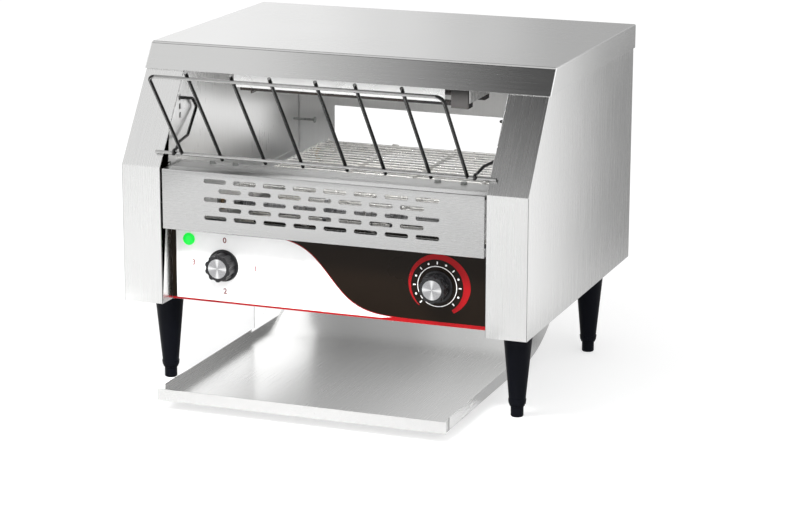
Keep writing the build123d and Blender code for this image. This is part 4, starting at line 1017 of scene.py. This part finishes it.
printLook = {
    "layer": 0.00005, "left": -0.1906, "right": 0.1906, "bottom": 0.1031, "top": 0.1891,
    "waveFoot": 0.1073, "waveRise": 0.0797, "waveMiddle": 0.001, "waveWidth": 0.033, "waveStart": -0.078,
    "outline": 0.0009, "redLine": 0.0022, "shadeStripWidth": 0.0055, "redFoot": (0.045, 0.075),
}
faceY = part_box("control_overlay")[0].y


def printed(name, outline, finishName, layer=1):
    # flat shape of (x, z) points, as a thin solid on the overlay's face
    thick = printLook["layer"]
    flat = prism(outline, lambda x, z: (x, faceY - layer * thick, z), lambda x, z: (x, faceY + thick, z))
    bmesh.ops.triangulate(flat, faces=[face for face in flat.faces if len(face.verts) > 4])
    placePiece(name, painted(meshFrom(flat, name), finish[finishName]), "casing")


def rectangle(left, bottom, right, top):
    return [(left, bottom), (right, bottom), (right, top), (left, top)]


def waveAt(x, look):
    share = math.tanh((x - look["waveMiddle"]) / look["waveWidth"])
    return look["waveFoot"] + look["waveRise"] / 2 * (1 - share)


def waveLine(look, steps=70):
    # the border between white and dark, from the top edge down to the right
    start, reach = look["waveStart"], look["right"] - look["waveStart"]
    places = [start + reach * step / steps for step in range(1, steps + 1)]
    return [(start, look["top"])] + [(x, waveAt(x, look)) for x in places]


def strip(line, width, side):
    # band of one width beside a line
    outer = []
    for i, (x, z) in enumerate(line):
        a, b = line[max(0, i - 1)], line[min(len(line) - 1, i + 1)]
        length = math.hypot(b[0] - a[0], b[1] - a[1])
        outer.append((x - side * width * (b[1] - a[1]) / length, z + side * width * (b[0] - a[0]) / length))
    return list(line) + outer[::-1]


def printBorders(look):
    left, right, bottom, top = look["left"], look["right"], look["bottom"], look["top"]
    wave = waveLine(look)
    printed("printDark", wave + [(right, top)], "filmDark")
    printed("printOutline", strip(wave, look["outline"], -1), "filmRed", 2)
    foot = [(look["redFoot"][0], bottom), (right, bottom), (right, look["waveFoot"]),
            (look["redFoot"][1], look["waveFoot"])]
    printed("printRedFoot", foot, "filmRed")
    printed("printRedLine", rectangle(left, bottom, right, bottom + look["redLine"]), "filmRed", 2)
    # painted shade: a dark strip down the left end of the overlay
    printed("printStrip", rectangle(left, bottom, left + look["shadeStripWidth"], top), "filmDark")


printBorders(printLook)

dial = {
    "centre": (0.127, 0.147), "ring": (0.0221, 0.0229), "arc": (-138, 146), "arcInner": 0.0303,
    "arcOuter": (0.0309, 0.0385), "marks": 13, "marksFrom": -135, "marksTo": 135, "markRadius": 0.0264,
    "dotRadius": 0.0012, "barSize": (0.0013, 0.0031), "markLayers": 3,
}


def dialPoint(turn, radius):
    # turn in degrees clockwise from the top
    angle = math.radians(90 - turn)
    return (dial["centre"][0] + radius * math.cos(angle), dial["centre"][1] + radius * math.sin(angle))


def arcBand(first, last, inner, outer, steps=72):
    # inner is a radius; outer gives one from the share of the way round
    shares = [step / steps for step in range(steps + 1)]
    inside = [dialPoint(first + (last - first) * share, inner) for share in shares]
    outside = [dialPoint(first + (last - first) * share, outer(share)) for share in shares]
    return inside + outside[::-1]


def arcRadius(share):
    # thin at the start, widest near three quarters, and quickly thin again
    thin, thick = dial["arcOuter"]
    return thin + (thick - thin) * min(1, share * 1.35, (1.12 - share) * 3.2) ** 0.8


printed("dialArc", arcBand(*dial["arc"], dial["arcInner"], arcRadius), "filmRed", 2)
for name, first, last in (("dialRingLeft", -180, 0), ("dialRingRight", 0, 180)):
    printed(name, arcBand(first, last, dial["ring"][0], lambda share: dial["ring"][1]), "filmWhite", 2)


def markTree(sizes):
    # dots and bars by turns, round an arc
    tree, given = newTree("dialMarks", sizes)
    dot = shapeOf(tree, "MeshCylinder", {
        "Vertices": 16, "Radius": given["Dot Radius"], "Depth": given["Thickness"]})
    size = vectorOf(tree, X=given["Bar Width"], Y=given["Bar Length"], Z=given["Thickness"])
    kinds = gathered(tree, "GeometryToInstance", dot, shapeOf(tree, "MeshCube", {"Size": size}))
    line = shapeOf(tree, "MeshLine", {"Count": given["Marks"], "Offset": (0, 0, 0)})
    number = shapeOf(tree, "InputIndex")
    turn = mathOf(tree, "ADD", given["From"], product(tree, number, given["Step"]))
    across = product(tree, mathOf(tree, "SINE", turn), given["Radius"])
    up = product(tree, mathOf(tree, "COSINE", turn), given["Radius"])
    spaced = shapeOf(tree, "SetPosition", {"Geometry": line, "Position": vectorOf(tree, X=across, Y=up)})
    marks = shapeOf(tree, "InstanceOnPoints", {
        "Points": spaced, "Instance": kinds, "Pick Instance": True,
        "Instance Index": mathOf(tree, "MODULO", number, 2.0),
        "Rotation": vectorOf(tree, Z=product(tree, turn, -1.0))})
    return endTree(tree, marks, given["Finish"])


markStep = (dial["marksTo"] - dial["marksFrom"]) / (dial["marks"] - 1)
markSizes = {"Marks": dial["marks"], "Radius": dial["markRadius"], "From": math.radians(dial["marksFrom"]),
             "Step": math.radians(markStep), "Dot Radius": dial["dotRadius"], "Bar Width": dial["barSize"][0],
             "Bar Length": dial["barSize"][1], "Thickness": dial["markLayers"] * printLook["layer"]}
marks = runTree(bpy.data.meshes.new("marksStart"), markTree(markSizes), "filmWhite", markSizes)
faceForward(marks, (dial["centre"][0], faceY, dial["centre"][1]))
placePiece("dialMarks", marks, "casing")

numerals = {
    "size": 0.0088, "bold": 0.00018, "curveSteps": 4,
    "places": {"0": (-0.1255, 0.1756), "1": (-0.0884, 0.1462), "2": (-0.1256, 0.1169),
               "3": (-0.1638, 0.1472)},
}
for text, (x, z) in numerals["places"].items():
    curve = bpy.data.curves.new("numeral" + text, "FONT")
    curve.body = text
    curve.size = numerals["size"]
    curve.offset = numerals["bold"]
    curve.align_x, curve.align_y = "CENTER", "CENTER"
    curve.extrude = printLook["layer"]
    curve.resolution_u = numerals["curveSteps"]
    mesh = plainMesh(newObject("numeralHolder", curve))
    faceForward(mesh, (x, faceY, z))
    placePiece("numeral" + text, painted(mesh, finish["filmLabel"]), "casing")
print("print made")


# Camera and studio

cameraPlace = {"position": (1.038934, -2.682789, 0.869767), "turn": 0.3602, "tilt": 0.2502, "roll": 0.0022,
               "lens": 115.644}


def makeCamera(place):
    turn, tilt, roll = place["turn"], place["tilt"], place["roll"]
    forward = Vector((-math.sin(turn) * math.cos(tilt), math.cos(turn) * math.cos(tilt), -math.sin(tilt)))
    right = forward.cross(Vector((0, 0, 1))).normalized()
    up = right.cross(forward)
    rolledRight = math.cos(roll) * right + math.sin(roll) * up
    rolledUp = math.cos(roll) * up - math.sin(roll) * right
    camera = newObject("camera", bpy.data.cameras.new("camera"))
    camera.data.lens = place["lens"]
    camera.data.sensor_width = 36.0
    camera.data.clip_end = 50.0
    facing = Matrix((rolledRight, rolledUp, -forward)).transposed().to_4x4()
    camera.matrix_world = Matrix.Translation(place["position"]) @ facing
    scene.camera = camera


def rampAlong(tree, axis, stops):
    # smooth level up to 2 along x, y or z
    place = partsOf(tree, coordinates(tree))["xyz".index(axis)]
    return product(tree, smoothRamp(tree, place, [(at, level / 2) for at, level in stops]), 2.0)


def stagePiece(name, corners, material):
    mesh = linesMesh(name, corners, (), [(0, 1, 2, 3)])
    mesh.materials.append(material)
    piece = newObject(name, mesh)
    return piece


def whiteGlow(tree, strength):
    return addNode(tree, "ShaderNodeEmission", {"Color": (1, 1, 1, 1), "Strength": strength}).outputs[0]


floorLook = {
    "size": 14.0, "albedo": 0.55, "lift": 0.55,
    "mirrored": [(-1.3, 0.05), (-0.8, 0.40), (-0.5, 0.50), (-0.1, 0.32), (0.15, 0.26), (0.4, 0.0)],
}


def makeFloor(look):
    # white paper, lifted to white for the camera and darker in reflections
    material, tree = newMaterial("floorPaper")
    paper = addNode(tree, "ShaderNodeBsdfDiffuse", {"Color": (look["albedo"],) * 3 + (1,)})
    rays = addNode(tree, "ShaderNodeLightPath").outputs
    gloss = mathOf(tree, "MAXIMUM", rays["Is Glossy Ray"], rays["Is Transmission Ray"])
    mirrored = product(tree, gloss, rampAlong(tree, "x", look["mirrored"]))
    seen = product(tree, rays["Is Camera Ray"], look["lift"])
    glow = whiteGlow(tree, mathOf(tree, "ADD", mirrored, seen))
    total = addNode(tree, "ShaderNodeAddShader", {0: paper.outputs[0], 1: glow})
    addNode(tree, "ShaderNodeOutputMaterial", {"Surface": total.outputs[0]})
    half = look["size"] / 2
    stagePiece("floor", [(-half, -half, 0), (half, -half, 0), (half, half, 0), (-half, half, 0)], material)


skyLook = {"front": 1.05, "back": 0.66}


def makeWorld(look):
    # even white room, brighter in front of the object than behind it
    world = bpy.data.worlds.new("studio")
    world.use_nodes = True
    tree = world.node_tree
    tree.nodes.clear()
    depth = partsOf(tree, coordinates(tree, "Generated"))[1]
    level = ranged(tree, depth, -1.0, 1.0, look["front"], look["back"])
    isCamera = addNode(tree, "ShaderNodeLightPath").outputs["Is Camera Ray"]
    strength = mixValue(tree, isCamera, level, 1.0)
    background = addNode(tree, "ShaderNodeBackground", {"Color": (1, 1, 1, 1), "Strength": strength})
    addNode(tree, "ShaderNodeOutputWorld", {"Surface": background.outputs[0]})
    scene.world = world


softBoxes = {
    "keyBox": {"place": (-1.3, -1.2, 1.9), "target": (0, 0, 0.2), "size": (1.4, 1.4), "watts": 22},
    "fillBox": {"place": (1.6, -1.4, 1.3), "target": (0, 0, 0.2), "size": (1.2, 1.2), "watts": 8},
    "frontBox": {"place": (0.2, -2.2, 0.35), "target": (0, 0, 0.2), "size": (1.6, 0.7), "watts": 7},
    "slotBox": {"place": (0.02, -0.36, 0.46), "target": (0.02, 0.10, 0.26), "size": (0.30, 0.08),
                "watts": 3.5},
}


def makeSoftBox(name, look):
    light = bpy.data.lights.new(name, "AREA")
    light.shape = "RECTANGLE"
    light.size, light.size_y = look["size"]
    light.energy = look["watts"]
    lamp = newObject(name, light)
    towards = Vector(look["target"]) - Vector(look["place"])
    facing = towards.to_track_quat("-Z", "Y").to_matrix().to_4x4()
    lamp.matrix_world = Matrix.Translation(look["place"]) @ facing
    lamp.visible_glossy = False


# Graded boards that show in reflections only. Each is flat on one axis; levels run along x, y or z.
boards = {
    "lipBoard": {"flat": "z", "at": 0.62, "first": (-0.65, 0.45), "second": (-0.65, -0.12), "along": "x",
                 "levels": [(-0.36, 0.88), (-0.225, 0.90), (-0.125, 0.60), (-0.035, 0.40), (0.045, 0.19),
                            (0.11, 0.07), (0.30, 0.05)],
                 "liftAlong": "y", "lift": [(-0.47, 0.42), (-0.42, 0.27), (-0.37, 0.09), (-0.30, 0.0)]},
    "lidBoard": {"flat": "y", "at": 0.55, "first": (-0.85, 0.50), "second": (0.30, 0.95), "along": "x",
                 "levels": [(-0.46, 1.08), (-0.32, 1.02), (-0.18, 0.85), (-0.06, 0.69), (0.06, 0.51),
                            (0.30, 0.43)]},
    "sideBoard": {"flat": "x", "at": 0.36, "first": (-0.10, 0.80), "second": (0.001, 0.60), "along": "y",
                  "levels": [(0.05, 1.25), (0.17, 1.18), (0.30, 0.90), (0.42, 0.54), (0.52, 0.30),
                             (0.70, 0.26)]},
    "cheekBoard": {"flat": "x", "at": -0.1650, "first": (0.02, 0.195), "second": (0.02, 0.0975),
                   "along": "y", "levels": [(0.02, 1.5), (0.195, 1.5)]},
    "slideBoard": {"flat": "z", "at": 0.0975, "first": (-0.38, 0.20), "second": (-0.22, 0.42), "along": "x",
                   "levels": [(-0.36, 1.6), (-0.26, 1.5), (-0.21, 1.2), (-0.175, 0.52), (-0.12, 0.38),
                              (-0.04, 0.46), (0.03, 0.70), (0.10, 0.85)],
                   "liftAlong": "y", "lift": [(-0.22, 0.0), (0.0, 0.30), (0.10, 0.20), (0.18, 0.0)]},
    "hoodBoard": {"flat": "z", "at": 0.3275, "first": (-0.14, 0.13), "second": (-0.07, 0.15),
                  "along": "x", "levels": [(-0.14, 1.15), (0.13, 1.15)]},
    "outletBoard": {"flat": "y", "at": 0.32, "first": (-0.40, 0.20), "second": (0.20, 0.375),
                    "along": "x", "levels": [(-0.40, 1.3), (0.20, 1.3)]},
}


def boardCorners(look):
    (a, b), (c, d), axis = look["first"], look["second"], "xyz".index(look["flat"])
    corners = []
    for corner in ([a, c], [b, c], [b, d], [a, d]):
        corner.insert(axis, look["at"])
        corners.append(tuple(corner))
    return corners


def makeBoard(name, look):
    material, tree = newMaterial(name)
    level = rampAlong(tree, look["along"], look["levels"])
    if "lift" in look:
        level = mixValue(tree, rampAlong(tree, look["liftAlong"], look["lift"]), level, 1.0)
    addNode(tree, "ShaderNodeOutputMaterial", {"Surface": whiteGlow(tree, level)})
    board = stagePiece(name, boardCorners(look), material)
    board.visible_camera = False
    board.visible_diffuse = False
    board.visible_transmission = False
    board.visible_shadow = False


makeCamera(cameraPlace)
makeFloor(floorLook)
makeWorld(skyLook)
for name, look in softBoxes.items():
    makeSoftBox(name, look)
for name, look in boards.items():
    makeBoard(name, look)
scene.view_settings.view_transform = "Standard"
print("studio made")
